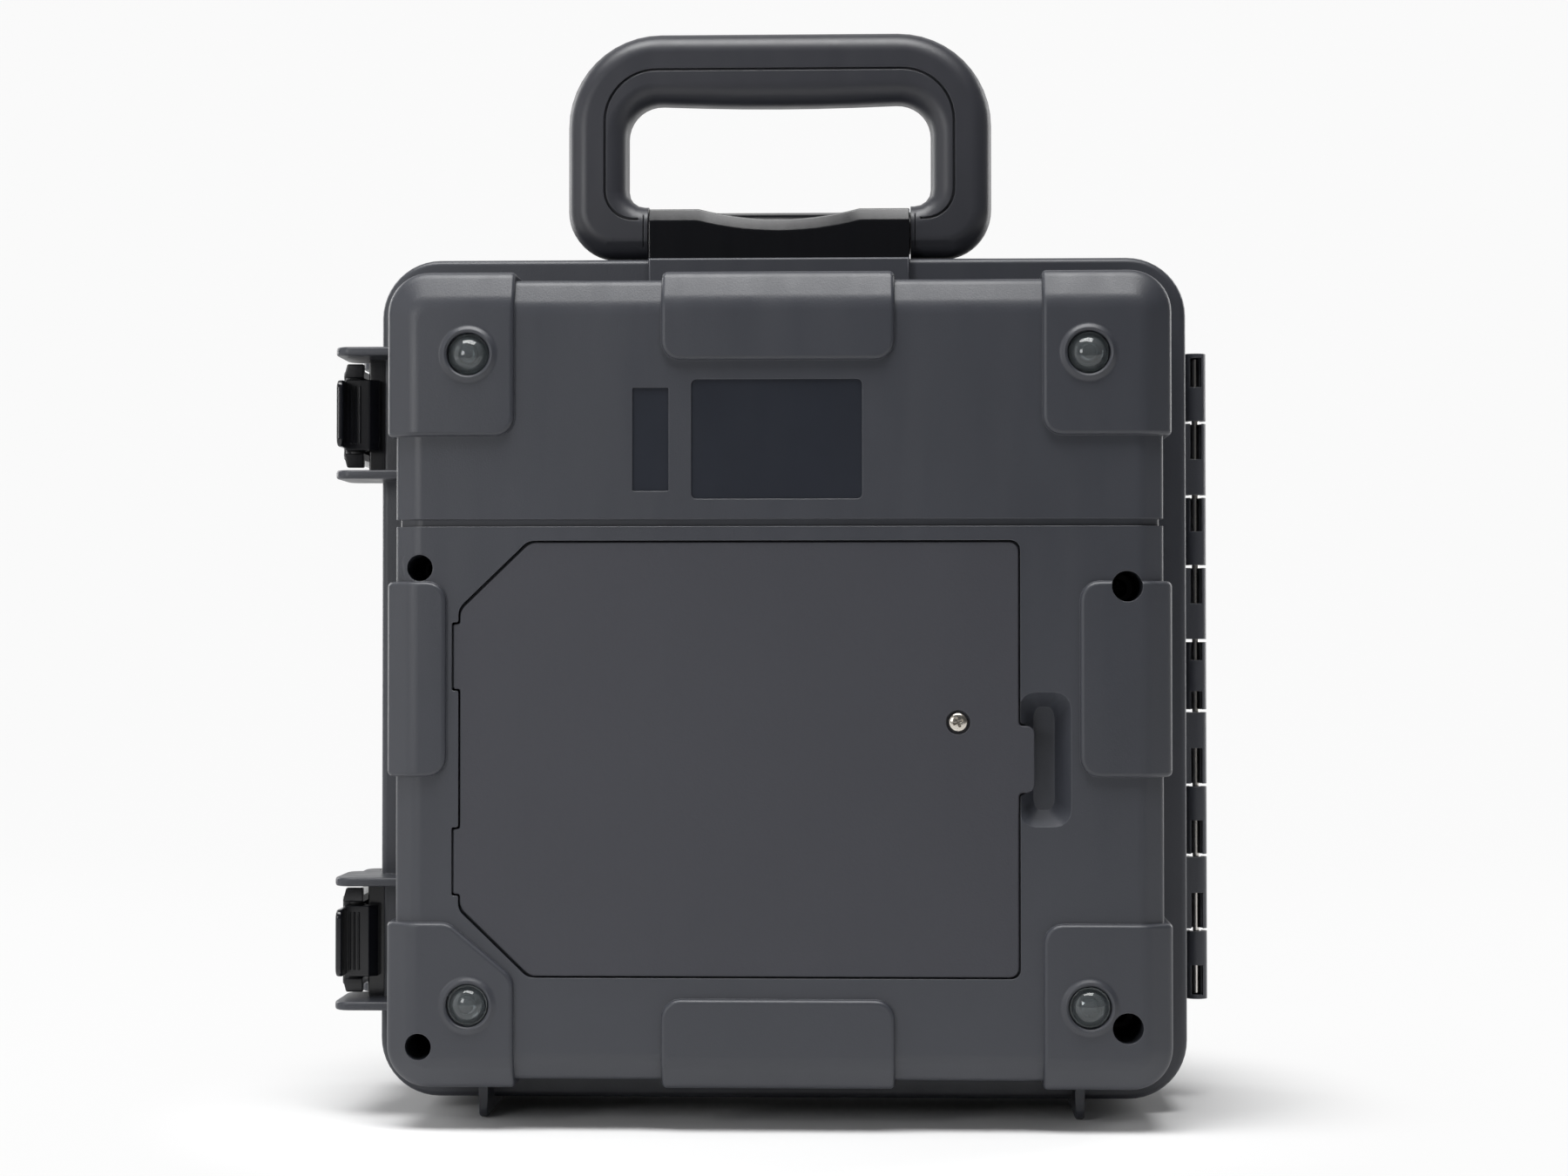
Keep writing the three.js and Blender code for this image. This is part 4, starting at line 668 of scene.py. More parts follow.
def coverOutline(grow, plain=False):
    left, right = coverLeft - grow, coverRight + grow
    low, high = cover["z"] - cover["height"] / 2 - grow, cover["z"] + cover["height"] / 2 + grow
    run, rise = cover["chamfer"]
    if plain:
        return [(left + run, low), (right, low), (right, high), (left + run, high), (left, high - rise),
                (left, low + rise)]
    slope = math.tan(math.atan2(rise, run) / 2) * grow
    out, half, small = left - cover["tabReach"], cover["tabLength"] / 2 + grow, cover["tabCorner"]
    tabs = []
    for z in reversed(tabHeights):
        tabs += [(left, z + half, small), (out, z + half, small),
                 (out, z - half, small), (left, z - half, small)]
    pull, half = right + cover["pullReach"], cover["pullLength"] / 2 + grow
    up, down = cover["z"] + half, cover["z"] - half
    outer, inner, rounding = cover["pullCorner"], cover["pullCorner"] / 2, cover["chamferRound"]
    return [(left + run - slope, low, rounding), (right, low, cover["corner"]), (right, down, inner),
            (pull, down, outer), (pull, up, outer), (right, up, inner), (right, high, cover["corner"]),
            (left + run - slope, high, rounding), (left, high - rise + slope, rounding), *tabs,
            (left, low + rise - slope, rounding)]


# The base, towards the camera. Steps are (out, back) from a named place of a turned section
base = {
    "rimDepth": 29.5, "finDepth": 44, "fit": 0.4, "wellWall": 2, "wellFloor": 5, "screwHole": 1.8,
    "wells": ((-102.7, 160.8, 3.8), (-102.75, 24.1, 3.8), (99.4, 155.4, 4.4), (99.35, 30.1, 4.4)),
    "footSpan": (177.2, 186), "socket": 6.15, "socketDepth": 3, "bossRise": 0.9, "bossLip": 0.5,
    "bossCrest": 6.9, "crestSteps": ((-0.4, 0.1), (0, 0), (0.5, 0.2)), "bossFoot": 8.3,
    "footSteps": ((-0.4, -0.2), (0.3, 0), (0.3, sink)), "earSpread": 36.4, "earThickness": 2.6,
    "earReach": 11.7, "earNear": 44.5, "earFar": 17.5, "earCorner": 4.5, "earRoundShare": 0.3,
    "earRounded": 8, "latchSpread": 156.4, "catchReach": 3.9, "catchLength": 33.8, "catchTop": 2,
    "catchRamp": 6.5, "catchEdge": 0.5, "recess": (14.4, 38.3), "recessCorner": 4.7, "recessSlope": 4.4,
    "recessDepth": 7, "recessWall": 2.2, "wideLabel": (-0.3, 197.6, 48.9, 34.3, 1.5),
    "slimLabel": (-36.4, 197.55, 10.4, 29.7, 0.4), "labelDepth": 0.5, "pedestal": (-39.9, 38),
    "pedestalProud": 3, "pedestalDrop": 12, "pedestalEdge": 0.7}
latchHeights = [middleZ + sign * base["latchSpread"] / 2 for sign in (1, -1)]
earHeights = [z + sign * base["earSpread"] / 2 for z in latchHeights for sign in (1, -1)]
feet = [(signX * base["footSpan"][0] / 2, middleZ + signZ * base["footSpan"][1] / 2)
        for signZ in (1, -1) for signX in (-1, 1)]
wells = base["wells"]


def ear(low, high, near, far):
    tip, root, corner = -(rimHalf + base["earReach"]), sink - halfX, base["earCorner"]
    plate = drawPlate("ear", "z", [(tip, near, corner), (root, near), (root, far), (tip, far, corner)],
                      low, high)
    return bevelWhere(plate, lambda a, b, angle: angle > 40 and min(a.x, b.x) < base["earRounded"] - rimHalf,
                      base["earRoundShare"] * (high - low), 3)


# The finger recess beside the pull tab, with sloping sides, or its wall, which is grown and deeper
def recessBlock(name, grow, start, deeper):
    width = base["recess"][0] + cover["gap"] + 2 * grow
    height = base["recess"][1] + 2 * grow
    x = coverRight + (base["recess"][0] - cover["gap"]) / 2
    end = baseFace + base["recessDepth"] + deeper
    corners = rectangle(x, cover["z"], width, height, base["recessCorner"] + grow)
    block = drawPlate(name, "y", corners, baseFace, end)
    slope = 2 * base["recessSlope"]
    scaleEnd(block, (width - slope) / width, (height - slope) / height, (x, end, cover["z"]))
    if start < baseFace:
        chooseFaces(block, lambda middle, normal: normal.y < -0.9)
        bpy.ops.mesh.extrude_region_move(TRANSFORM_OT_translate={"value": (0, (start - baseFace) * mm, 0)})
        bpy.ops.object.mode_set(mode="OBJECT")
    return turnFacesOut(block)


shell = caseHalf("baseShell", baseDepth, base["rimDepth"], base["finDepth"], True)
cut(shell, hollowOf(baseDepth, base["rimDepth"]))
floorY = baseFace + case["wall"] - sink
combine(shell, drawPlate("ledge", "y", coverOutline(cover["ledgeGrow"], True), floorY, ledgeBack))
combine(shell, recessBlock("recessWall", base["recessWall"], baseFace, base["recessWall"]))
stepY = -(base["rimDepth"] - case["wall"])
for x, z, radius in wells:
    combine(shell, addRound("pillar", "y", radius + base["wellWall"], (x, z), floorY,
                            stepY - base["fit"], 32))
bossTop, lip = -baseDepth - base["bossRise"], base["bossLip"]
crest = [(base["bossCrest"] + out, bossTop + back) for out, back in base["crestSteps"]]
root = [(base["bossFoot"] + out, -baseDepth + back) for out, back in base["footSteps"]]
for x, z in feet:
    profile = [(0, bossTop + lip), (base["socket"], bossTop + lip), *crest, *root, (0, sink - baseDepth)]
    combine(shell, turnPiece("boss", profile, x, z))
thick = base["earThickness"] / 2
for z in earHeights:
    combine(shell, ear(z - thick, z + thick, -base["earNear"], -base["earFar"]))
catchTip, catchNear = -(rimHalf + base["catchReach"]), -base["rimDepth"]
catchStep = catchNear + base["catchTop"]
catchFar, half = catchStep + base["catchRamp"], base["catchLength"] / 2
for z in latchHeights:
    bar = drawPlate("catch", "z", [
        (catchTip, catchNear), (sink - rimHalf, catchNear), (sink - rimHalf, catchFar), (-rimHalf, catchFar),
        (catchTip, catchStep)], z - half, z + half)
    bevelWhere(bar, lambda a, b, angle: angle > 30 and max(a.x, b.x) < sink / 2 - rimHalf,
               base["catchEdge"], 3)
    combine(shell, bar)
left, right = base["pedestal"]
pedestal = addBox("pedestal", (left, catchNear - base["pedestalProud"], rimTop - base["pedestalDrop"]),
                  (right, sink - base["rimDepth"], rimTop))
bevelWhere(pedestal, lambda a, b, angle: max(a.y, b.y) < catchNear - sink, base["pedestalEdge"], 3)
combine(shell, pedestal)
for index in (1, 3, 5, 7):
    combine(shell, knuckle(index, -1))
print("base formed")

cut(shell, drawPlate("pocket", "y", coverOutline(0), -baseDepth, pocketFloor))
cut(shell, drawPlate("opening", "y", coverOutline(-cover["openingIn"], True), -baseDepth, ledgeBack + past))
half, (before, inwards) = cover["tabLength"] / 2, cover["tongueRoom"]
for z in tabHeights:
    cut(shell, addBox("tongueSlot", (tongueLeft - cover["tongueGap"], pocketFloor - before, z - half),
                      (coverLeft + inwards, ledgeBack + past, z + half)))
cut(shell, recessBlock("recess", 0, baseFace - past, 0))
wellBottom = stepY - base["fit"] - base["wellFloor"]
for x, z, radius in wells:
    cut(shell, addRound("well", "y", radius, (x, z), -baseDepth - past, wellBottom, 40))
    cut(shell, addRound("screwHole", "y", base["screwHole"], (x, z), wellBottom - sink, stepY + past, 24))
for x, z in feet:
    cut(shell, addRound("footSocket", "y", base["socket"], (x, z), bossTop - past,
                        bossTop + base["socketDepth"]))
labelFloor = baseFace + base["labelDepth"]
for name in ("wideLabel", "slimLabel"):
    cut(shell, drawPlate(name, "y", rectangle(*base[name]), -baseDepth, labelFloor))
smoothPiece(shell)
finishPiece(shell, "base", "case_abs", caseAbs, "base_shell")
# The catch bars' faces take the near-black latch finish: painted shade, as the ears above shade them
finishFaces(shell, darkAbsAndCatchShade, lambda middle, normal: middle.x < 0.1 - rimHalf
            and catchNear - 0.1 < middle.y < catchFar + 0.1
            and min(abs(middle.z - z) for z in latchHeights) < base["catchLength"] / 2 + 0.1)
finishFaces(shell, labelAbs, lambda middle, normal:
            normal.y < -0.9 and abs(middle.y - labelFloor) < 2 * close)
print("base shell done")


# The lid is the same form turned round, without the middle pads and the groove
lid = {"depth": 47.5, "rimDepth": 19, "finDepth": 34, "lugNear": 2.2, "lugFar": 16.8, "lugRoot": 2,
       "lugs": ((224.1, 226.7), (189.5, 191), (67, 68.5), (31.3, 34.4)), "pinReach": 5.6, "pinBack": 9.5,
       "bore": 1.35}
latchPin = (-(rimHalf + lid["pinReach"]), lid["pinBack"])
lidShell = caseHalf("lidShell", lid["depth"], lid["rimDepth"], lid["finDepth"], False)
cut(lidShell, hollowOf(lid["depth"], lid["rimDepth"]))
focus(lidShell)
swivel("lidShell", "Z", 180, (0, case["parting"], 0))
for low, high in lid["lugs"]:
    lug = ear(low, high, lid["lugNear"], lid["lugFar"])
    cut(lug, addRound("lugHole", "z", lid["bore"], latchPin, low - past, high + past, 24))
    cut(lug, addBox("lugRoom", (lid["lugRoot"] - rimHalf, lid["lugNear"] - past, low - past),
                    (0, lid["lugFar"] + past, high + past)))
    combine(lidShell, lug)
for index in (0, 2, 4, 6, 8):
    combine(lidShell, knuckle(index, 1))
smoothPiece(lidShell)
finishPiece(lidShell, "lid", "case_abs", caseAbs, "lid_shell")
print("lid shell done")


# Battery cover, with two tabs and tongues on its left and a pull tab on its right
plate = roundAt(drawPlate("batteryCover", "y", coverOutline(-cover["gap"]), coverFront, coverBack),
                coverFront, cover["edge"], 3)
half = cover["tabLength"] / 2 - cover["gap"] - cover["tongueGap"]
for z in tabHeights:
    combine(plate, addBox("tongue", (tongueLeft, coverBack - cover["tongue"], z - half),
                          (coverLeft + sink, coverBack, z + half)))
boreFloor = coverFront + cover["boreDepth"]
cut(plate, addRound("counterbore", "y", cover["counterbore"], cover["screw"], coverFront - past, boreFloor))
cut(plate, addRound("screwHole", "y", cover["screwHole"], cover["screw"], coverFront - past,
                    coverBack + past, 32))
smoothPiece(plate)
finishPiece(plate, "cover", "cover_abs", coverAbs, "battery_cover")
print("battery cover done")


# A pan-head screw with a cross recess. Its crown is (radius, depth below the top)
def makeScrew(name, screw, x, z, seatY, steps):
    top, end, shank, tip = seatY - screw["height"], seatY + screw["length"], screw["shank"], screw["tip"]
    crown = [(radius, top + drop) for radius, drop in screw["crown"]]
    made = turnPiece(name, crown + [
        (crown[-1][0], seatY), (shank, seatY), (shank, end - tip), (shank - tip, end), (0, end)], x, z, steps)
    reach, half = screw["crossReach"], screw["crossWidth"] / 2
    for wide, high in ((reach, half), (half, reach)):
        arm = addBox("crossArm", (x - wide, top - sink, z - high),
                     (x + wide, top + screw["crossDepth"], z + high))
        scaleEnd(arm, screw["crossTaper"], screw["crossTaper"], (x, top, z))
        cut(made, arm)
    return smoothPiece(made)


# The cover's screw, left part of a turn round by its driver
coverScrew = {
    "crown": ((0, 0), (1.26, 0.06), (2.1, 0.25), (2.604, 0.55), (2.8, 0.95)), "height": 1.35, "length": 9,
    "shank": 1.5, "tip": 0.8, "crossWidth": 0.9, "crossReach": 2, "crossDepth": 1.1, "crossTaper": 0.55,
    "turn": 24}
x, z = cover["screw"]
screw = makeScrew("coverScrew", coverScrew, x, z, boreFloor - seat, 48)
focus(screw)
swivel("coverScrew", "Y", coverScrew["turn"], (x, 0, z))
finishPiece(screw, "cover", "nickel", nickel, "cover_screw")
print("cover screw done")


# Case screws at the bottom of the wells, in near-black metal as painted shade in the wells
caseScrew = {
    "crown": ((0, 0), (1.35, 0.08), (2.05, 0.3), (2.55, 0.7), (2.75, 1.4)), "height": 2.2, "length": 20,
    "shank": 1.5, "tip": 0.8, "crossWidth": 0.95, "crossReach": 1.9, "crossDepth": 1.4, "crossTaper": 1}
firstX, firstZ = wells[0][:2]
screw = makeScrew("caseScrew", caseScrew, firstX, firstZ, wellBottom - seat, 32)
layOut(screw, "caseScrew", [(x - firstX, z - firstZ) for x, z, radius in wells], lambda one, number:
       finishPiece(one, "base", "nickel", paintedWellShadeMetal, "case_screw_%d" % number))
print("case screws done")


# Feet: clear pucks with a round dome, hollow behind
foot = {"radius": 5.8, "dome": 6.3, "domeAngle": 56, "proud": 2, "depth": 2.7, "hollow": 2.4,
        "hollowDepth": 2.3, "step": 0.1, "edge": 0.2, "hollowRound": 0.5}
top, back = -baseDepth - foot["proud"], bossTop + foot["depth"]
angles = [math.radians(foot["domeAngle"] * step / 10) for step in range(11)]
arc = [(foot["dome"] * math.sin(angle), top + foot["dome"] * (1 - math.cos(angle))) for angle in angles]
domeEdge, shoulder, radius = arc[-1][0] + foot["step"], arc[-1][1] + foot["step"], foot["radius"]
hollow, hollowEnd = foot["hollow"], back - foot["hollowDepth"]
puck = smoothPiece(turnPiece("rubberFoot", arc + [
    (domeEdge, shoulder), (radius - foot["edge"], shoulder), (radius, shoulder + foot["edge"]),
    (radius, back), (hollow, back), (hollow, hollowEnd + foot["hollowRound"]),
    (hollow - foot["hollowRound"], hollowEnd), (0, hollowEnd)], *feet[0]))
layOut(puck, "rubberFoot", [(x - feet[0][0], z - feet[0][1]) for x, z in feet], lambda one, number:
       finishPiece(one, "base", "clear_rubber", clearRubber, "rubber_foot_%d" % number))
print("feet done")


def addPin(name, node, radius, centre, low, high, edge, sides):
    pin = addRound(name, "z", radius, centre, low, high, sides)
    bevelWhere(pin, lambda a, b, angle: angle > 60, edge, 2)
    finishPiece(smoothPiece(pin), "lid", "stainless", stainless, node)


addPin("hingePin", "hinge_pin", hinge["pin"], (hingeX, 0), placeOf(pinBox[0]).z, placeOf(pinBox[1]).z,
       hinge["pinEdge"], 32)
print("hinge pin done")


# Latches: a channel with a thumb tab, thin wings at its ends, a ribbed hook over the catch and a barrel
latch = {
    "width": 31, "body": 26.6, "reach": 11.2, "inner": 5.1, "skin": 2.2, "cheek": 2, "near": 31.5,
    "heel": 1.5, "edge": 0.4, "wing": 4.2, "wingDepth": 2.2, "wingCut": 1.1, "wingProud": 0.3, "barrel": 3.6,
    "thumbWidth": 19.8, "thumbNear": 43.5, "thumbSkin": 1.9, "thumbCorner": 2.6, "thumbEdge": 0.6,
    "hookWidth": 21, "hookTip": 0.3, "hookThickness": 5.5, "hookNose": 2.6, "hookGap": 0.4, "hookEdge": 0.35,
    "catchGap": 1, "ribs": (-128.2, -126.9, -125.6), "ribWidth": 0.5, "ribProud": 0.5, "ribLength": 17,
    "ribEdge": 0.15, "pin": 1, "pinEdge": 0.2}


def latchLever(name, z):
    outer, inner = -(rimHalf + latch["reach"]), -(rimHalf + latch["inner"])
    skin, half, cheek, edge = outer + latch["skin"], latch["body"] / 2, latch["cheek"], latch["edge"]
    lever = drawPlate(name, "y", [
        (inner, z - half), (inner, z - half + cheek), (skin, z - half + cheek), (skin, z + half - cheek),
        (inner, z + half - cheek), (inner, z + half), (outer, z + half), (outer, z - half)],
        -latch["near"], lid["pinBack"] + latch["heel"])
    bevelWhere(lever, lambda a, b, angle: angle > 20 and max(a.x, b.x) < skin - 0.1, 2 * edge, 3)
    for sign in (-1, 1):
        low, high = z + sign * (latch["width"] / 2 - latch["wing"]), z + sign * latch["width"] / 2
        wing = drawPlate("wing", "y", [
            (inner, low), (inner, high), (outer + latch["wingCut"], high), (outer, low)],
            -latch["near"] - latch["wingProud"], latch["wingDepth"] - latch["near"])
        combine(lever, bevelWhere(wing, lambda a, b, angle: angle > 20, edge, 2))
    thumbLength = latch["thumbNear"] - latch["near"] + 2 * latch["thumbCorner"]
    corners = rectangle(-latch["thumbNear"] + thumbLength / 2, z, thumbLength, latch["thumbWidth"],
                        latch["thumbCorner"])
    thumb = drawPlate("thumb", "x", corners, outer, outer + latch["thumbSkin"])
    bevelWhere(thumb, lambda a, b, angle: angle > 60 and abs(a.x - b.x) < close, latch["thumbEdge"], 3)
    combine(lever, thumb)
    hookFar = -base["rimDepth"] - latch["hookGap"]
    hookNear = hookFar - latch["hookThickness"]
    nose, tip = latch["hookNose"], -(rimHalf + latch["hookTip"])
    clear = -(rimHalf + base["catchReach"] + latch["catchGap"])
    hook = drawPlate("hook", "z", [
        (skin - sink, hookNear), (-(rimHalf + nose), hookNear), (tip, hookNear + nose), (tip, hookFar),
        (clear, hookFar), (clear, hookFar + nose), (skin - sink, hookFar + nose)],
        z - latch["hookWidth"] / 2, z + latch["hookWidth"] / 2)
    bevelWhere(hook, lambda a, b, angle: angle > 30 and max(a.y, b.y) < hookNear + nose + 0.1,
               latch["hookEdge"], 2)
    combine(lever, hook)
    thick, proud, reach = latch["ribWidth"] / 2, latch["ribProud"], latch["ribLength"] / 2
    for x in latch["ribs"]:
        rib = addBox("rib", (x - thick, hookNear - proud, z - reach),
                     (x + thick, hookNear + proud, z + reach))
        combine(lever, bevelWhere(rib, lambda a, b, angle: max(a.y, b.y) < hookNear, latch["ribEdge"], 2))
    combine(lever, addRound("barrel", "z", latch["barrel"], latchPin, z - half + close, z + half - close, 36))
    cut(lever, addRound("pinHole", "z", lid["bore"], latchPin, z - half - past, z + half + past, 24))
    return smoothPiece(lever)


for word, z, lugs in zip(("upper", "lower"), latchHeights, (lid["lugs"][:2], lid["lugs"][2:])):
    lever = latchLever("latchLever" + word.capitalize(), z)
    finishPiece(lever, "latch_" + word, "dark_abs", darkAbsAndCatchShade, "latch_lever_" + word)
    addPin("latchPin" + word.capitalize(), "latch_pin_" + word, latch["pin"], latchPin, lugs[1][0],
           lugs[0][1], latch["pinEdge"], 24)
print("latches done")


# Carry handle: half of a rounded loop with its arm, mirrored, and the seam of the grip cut round it
handle = {
    "x": -0.95, "behind": 21, "width": 127.1, "low": 254.7, "rise": 67.7, "thickness": 15.8, "topRadius": 28,
    "footRadius": 14.5, "side": 18.1, "top": 20.7, "arm": 15.7, "armLength": 24.6, "gap": 0.4,
    "holeRadius": 10, "holeFoot": 5, "sag": 1.2, "outerRound": 6.2, "innerRound": 6.4, "swing": 8.3,
    "seamSide": 11.3, "seamTop": 11.4, "seamDrop": 4.3, "seamRadius": 15.5, "seamFoot": 8.7,
    "seamWidth": 0.75, "seamDepth": 1.2, "seamEnd": 2.8, "collar": 1.3, "collarWidth": 0.3, "pinHole": 2.3,
    "pinDepth": 9.3}
handleHigh = handle["low"] + handle["rise"]
handleLeft, handleRight = handle["x"] - handle["width"] / 2, handle["x"] + handle["width"] / 2
handleNear = -handle["behind"] - handle["thickness"] / 2
handleFar = -handle["behind"] + handle["thickness"] / 2
pinZ = handle["low"] + handle["arm"] / 2
inLow, inHigh, inLeft = handle["low"] + handle["arm"], handleHigh - handle["top"], handleLeft + handle["side"]
armEnd = handleLeft + handle["armLength"] - handle["gap"]
armOther = 2 * handle["x"] - armEnd
bow = [(inLeft + (handle["x"] - inLeft) * step / 4, inHigh - handle["sag"] * math.sin(math.pi * step / 8))
       for step in (1, 2, 3, 4)]
loop = drawPlate("carryHandle", "y", [
    (handle["x"], handleHigh), (handleLeft, handleHigh, handle["topRadius"]),
    (handleLeft, handle["low"], handle["footRadius"]), (armEnd, handle["low"]), (armEnd, inLow),
    (inLeft, inLow, handle["holeFoot"]), (inLeft, inHigh, handle["holeRadius"]), *bow], handleNear, handleFar)


# The hole's edges, or where inner is false the outside ones, but none of the cut or the arm's end
def alongLoop(a, b, inner):
    atCut = min(a.x, b.x) > handle["x"] - 0.1 or min(a.x, b.x) > armEnd - 0.1 and max(a.z, b.z) < inLow + 0.1
    byHole = all(place.x > inLeft - 0.1 and inLow - 0.1 < place.z < inHigh + 0.1 for place in (a, b))
    return abs(a.y - b.y) < close and byHole == inner and not atCut


bevelWhere(loop, lambda a, b, angle: angle > 60 and alongLoop(a, b, False), handle["outerRound"], 7)
bevelWhere(loop, lambda a, b, angle: angle > 60 and alongLoop(a, b, True), handle["innerRound"], 8)
# The arm's underside is round about the pin, so that it swings clear of the rim
start, end = handleLeft - past, handle["x"] + past
swing = addRound("swing", "x", handle["swing"], (-handle["behind"], pinZ), start, end, 64)
combine(swing, addBox("above", (start - sink, handleNear - past, pinZ), (end + sink, handleFar + past,
                                                                         handleHigh + past)))
combine(loop, swing, "INTERSECT")
other = copyPiece(loop, "otherHalf")
bpy.ops.transform.resize(value=(-1, 1, 1), center_override=spot(handle["x"], 0, 0))
settle("otherHalf")
loop.select_set(True)
bpy.context.view_layer.objects.active = loop
bpy.ops.object.join()
chooseFaces(loop, lambda middle, normal: abs(normal.x) > 0.99 and abs(middle.x - handle["x"]) < close)
bpy.ops.mesh.delete(type="FACE")
bpy.ops.object.mode_set(mode="OBJECT")
turnFacesOut(loop)


def seamPlate(name, grow, start, end):
    left, right = handleLeft + handle["seamSide"] - grow, handleRight - handle["seamSide"] + grow
    low, high = inLow - handle["seamDrop"] - grow, handleHigh - handle["seamTop"] + grow
    footRadius, topRadius = handle["seamFoot"] + grow, handle["seamRadius"] + grow
    return drawPlate(name, "y", [(left, low, footRadius), (right, low, footRadius), (right, high, topRadius),
                                 (left, high, topRadius)], start, end)


wide, thick = handle["seamWidth"] / 2, handle["collarWidth"] / 2
for start, end in ((handleNear - sink, handleNear + handle["seamDepth"]),
                   (handleFar - handle["seamDepth"], handleFar + sink)):
    line = seamPlate("seam", wide, start, end)
    cut(line, seamPlate("seamInner", -wide, start - sink, end + sink))
    cut(line, addBox("seamEnds", (armEnd - handle["seamEnd"], start - sink, handle["low"]),
                     (armOther + handle["seamEnd"], end + sink, inLow)))
    cut(loop, line)
    for x in (armEnd - handle["collar"], armOther + handle["collar"]):
        cut(loop, addBox("collar", (x - thick, start, handle["low"] - sink), (x + thick, end, inLow + sink)))
cut(loop, addRound("handlePinHole", "x", handle["pinHole"], (-handle["behind"], pinZ),
                   armEnd - handle["pinDepth"], armOther + handle["pinDepth"], 32))
smoothPiece(loop)
finishPiece(loop, "handle", "grip_abs", gripAbs, "handle_shell", "handle_grip")
print("handle done")


# Bracket between the arms: polished, with a dip along its top and a chamfer that follows it
bracket = {"width": 77.9, "depth": 20, "low": 253.8, "height": 15.2, "edge": 3.8, "dip": 3.1, "dipWidth": 48,
           "lean": 2.1, "corner": 0.35, "hub": 6.3, "hubProud": 0.3}
left, right = handle["x"] - bracket["width"] / 2, handle["x"] + bracket["width"] / 2
low, high = bracket["low"], bracket["low"] + bracket["height"]
near, far = -handle["behind"] - bracket["depth"] / 2, -handle["behind"] + bracket["depth"] / 2
shares = [1 - step / 7 for step in range(15)]
dip = [(handle["x"] + bracket["dipWidth"] / 2 * share, high - bracket["dip"] * (1 - share ** 2))
       for share in shares]
block = drawPlate("handleBracket", "y", [(left, low), (right, low), (right, high), *dip, (left, high)],
                  near, far)
bevelWhere(block, lambda a, b, angle: angle > 60 and min(a.z, b.z) > high - bracket["dip"] - 0.1
           and abs(a.y - b.y) < close < abs(a.x - b.x), bracket["edge"], 1)
for start, lean in ((near + bracket["edge"], -bracket["lean"]), (far - bracket["edge"], bracket["lean"])):
    chooseEdges(block, lambda a, b, angle: abs(a.y - start) + abs(b.y - start) < 2 * close)
    bpy.ops.transform.translate(value=(0, lean * mm, 0))
    bpy.ops.object.mode_set(mode="OBJECT")
bevelWhere(block, lambda a, b, angle: angle > 20 and max(a.z, b.z) > low + sink, bracket["corner"], 3)
# Low hubs about the pin keep the arms off the bracket's ends
combine(block, addRound("hub", "x", bracket["hub"], (-handle["behind"], pinZ), left - bracket["hubProud"],
                        right + bracket["hubProud"]))
cut(block, addRound("bracketPinHole", "x", handle["pinHole"], (-handle["behind"], pinZ), left - past,
                    right + past, 32))
smoothPiece(block)
finishPiece(block, "base", "gloss_abs", glossAbs, "handle_bracket")
print("bracket done")


# The instrument's panel faces the lid, and its controls reach back to the circuit board
panel = {
    "front": -4.5, "back": -7, "board": -22, "spindle": 3, "displayX": -32, "displayZ": 92,
    "window": (96, 46), "sightGap": 1, "sightCorner": 2.5, "bezel": 5, "bezelCorner": 5, "trimRise": 1.2,
    "trimSink": 0.3, "trimEdge": 0.6, "ring": (0.9, 3.2), "marks": 5, "markAngle": 30,
    "markWidths": (1.4, 0.9), "markReach": (2.4, 5.4), "markRise": 0.3}
panelFront, panelBack, boardFace = panel["front"], panel["back"] - seat, panel["board"] + seat

# Selector knob: a fluted disc with a waisted grip and a pointer line. Steps are (out, up) from its front edge
knob = {"x": 66, "z": 104, "radius": 20, "height": 7, "lift": 0.6, "heel": 0.4,
        "steps": ((0, -1.8), (-0.35, -0.9), (-0.9, -0.35), (-1.8, 0)), "flutes": 24, "fluteRadius": 1.5,
        "fluteSink": 0.8, "grip": (9, 31, 4), "gripHeight": 9, "gripSink": 0.5, "gripEdge": 1.2,
        "taper": (0.82, 0.94), "line": (1.1, 3, 14), "lineDepth": 0.35}
x, z, radius = knob["x"], knob["z"], knob["radius"]
low = panelFront + knob["lift"]
high = low + knob["height"]
dial = turnPiece("selectorKnob", [
    (0, boardFace), (panel["spindle"], boardFace), (panel["spindle"], low), (radius - knob["heel"], low),
    (radius, low + knob["heel"]), *[(radius + out, high + up) for out, up in knob["steps"]], (0, high)],
    x, z, 96)
reach = radius + knob["fluteRadius"] - knob["fluteSink"]
for step in range(knob["flutes"]):
    angle = 2 * math.pi * (step + 0.5) / knob["flutes"]
    centre = (x + reach * math.cos(angle), z + reach * math.sin(angle))
    cut(dial, addRound("flute", "y", knob["fluteRadius"], centre, low - sink, high + sink, 16))
gripTop = high + knob["gripHeight"]
lineFloor = gripTop - knob["lineDepth"]
grip = drawPlate("grip", "y", rectangle(x, z, *knob["grip"]), high - knob["gripSink"], gripTop)
scaleEnd(grip, *knob["taper"], (x, high, z))
roundAt(grip, gripTop, knob["gripEdge"], 4)
lineWidth, lineLow, lineHigh = knob["line"]
cut(grip, addBox("pointer", (x - lineWidth / 2, lineFloor, z + lineLow),
                 (x + lineWidth / 2, gripTop + past, z + lineHigh)))
combine(dial, grip)
smoothPiece(dial)
finishPiece(dial, "knob", "dark_abs", darkAbsAndCatchShade, "selector_knob")
finishFaces(dial, markPaint, lambda middle, normal: normal.y > 0.9 and abs(middle.y - lineFloor) < close)
print("knob done")

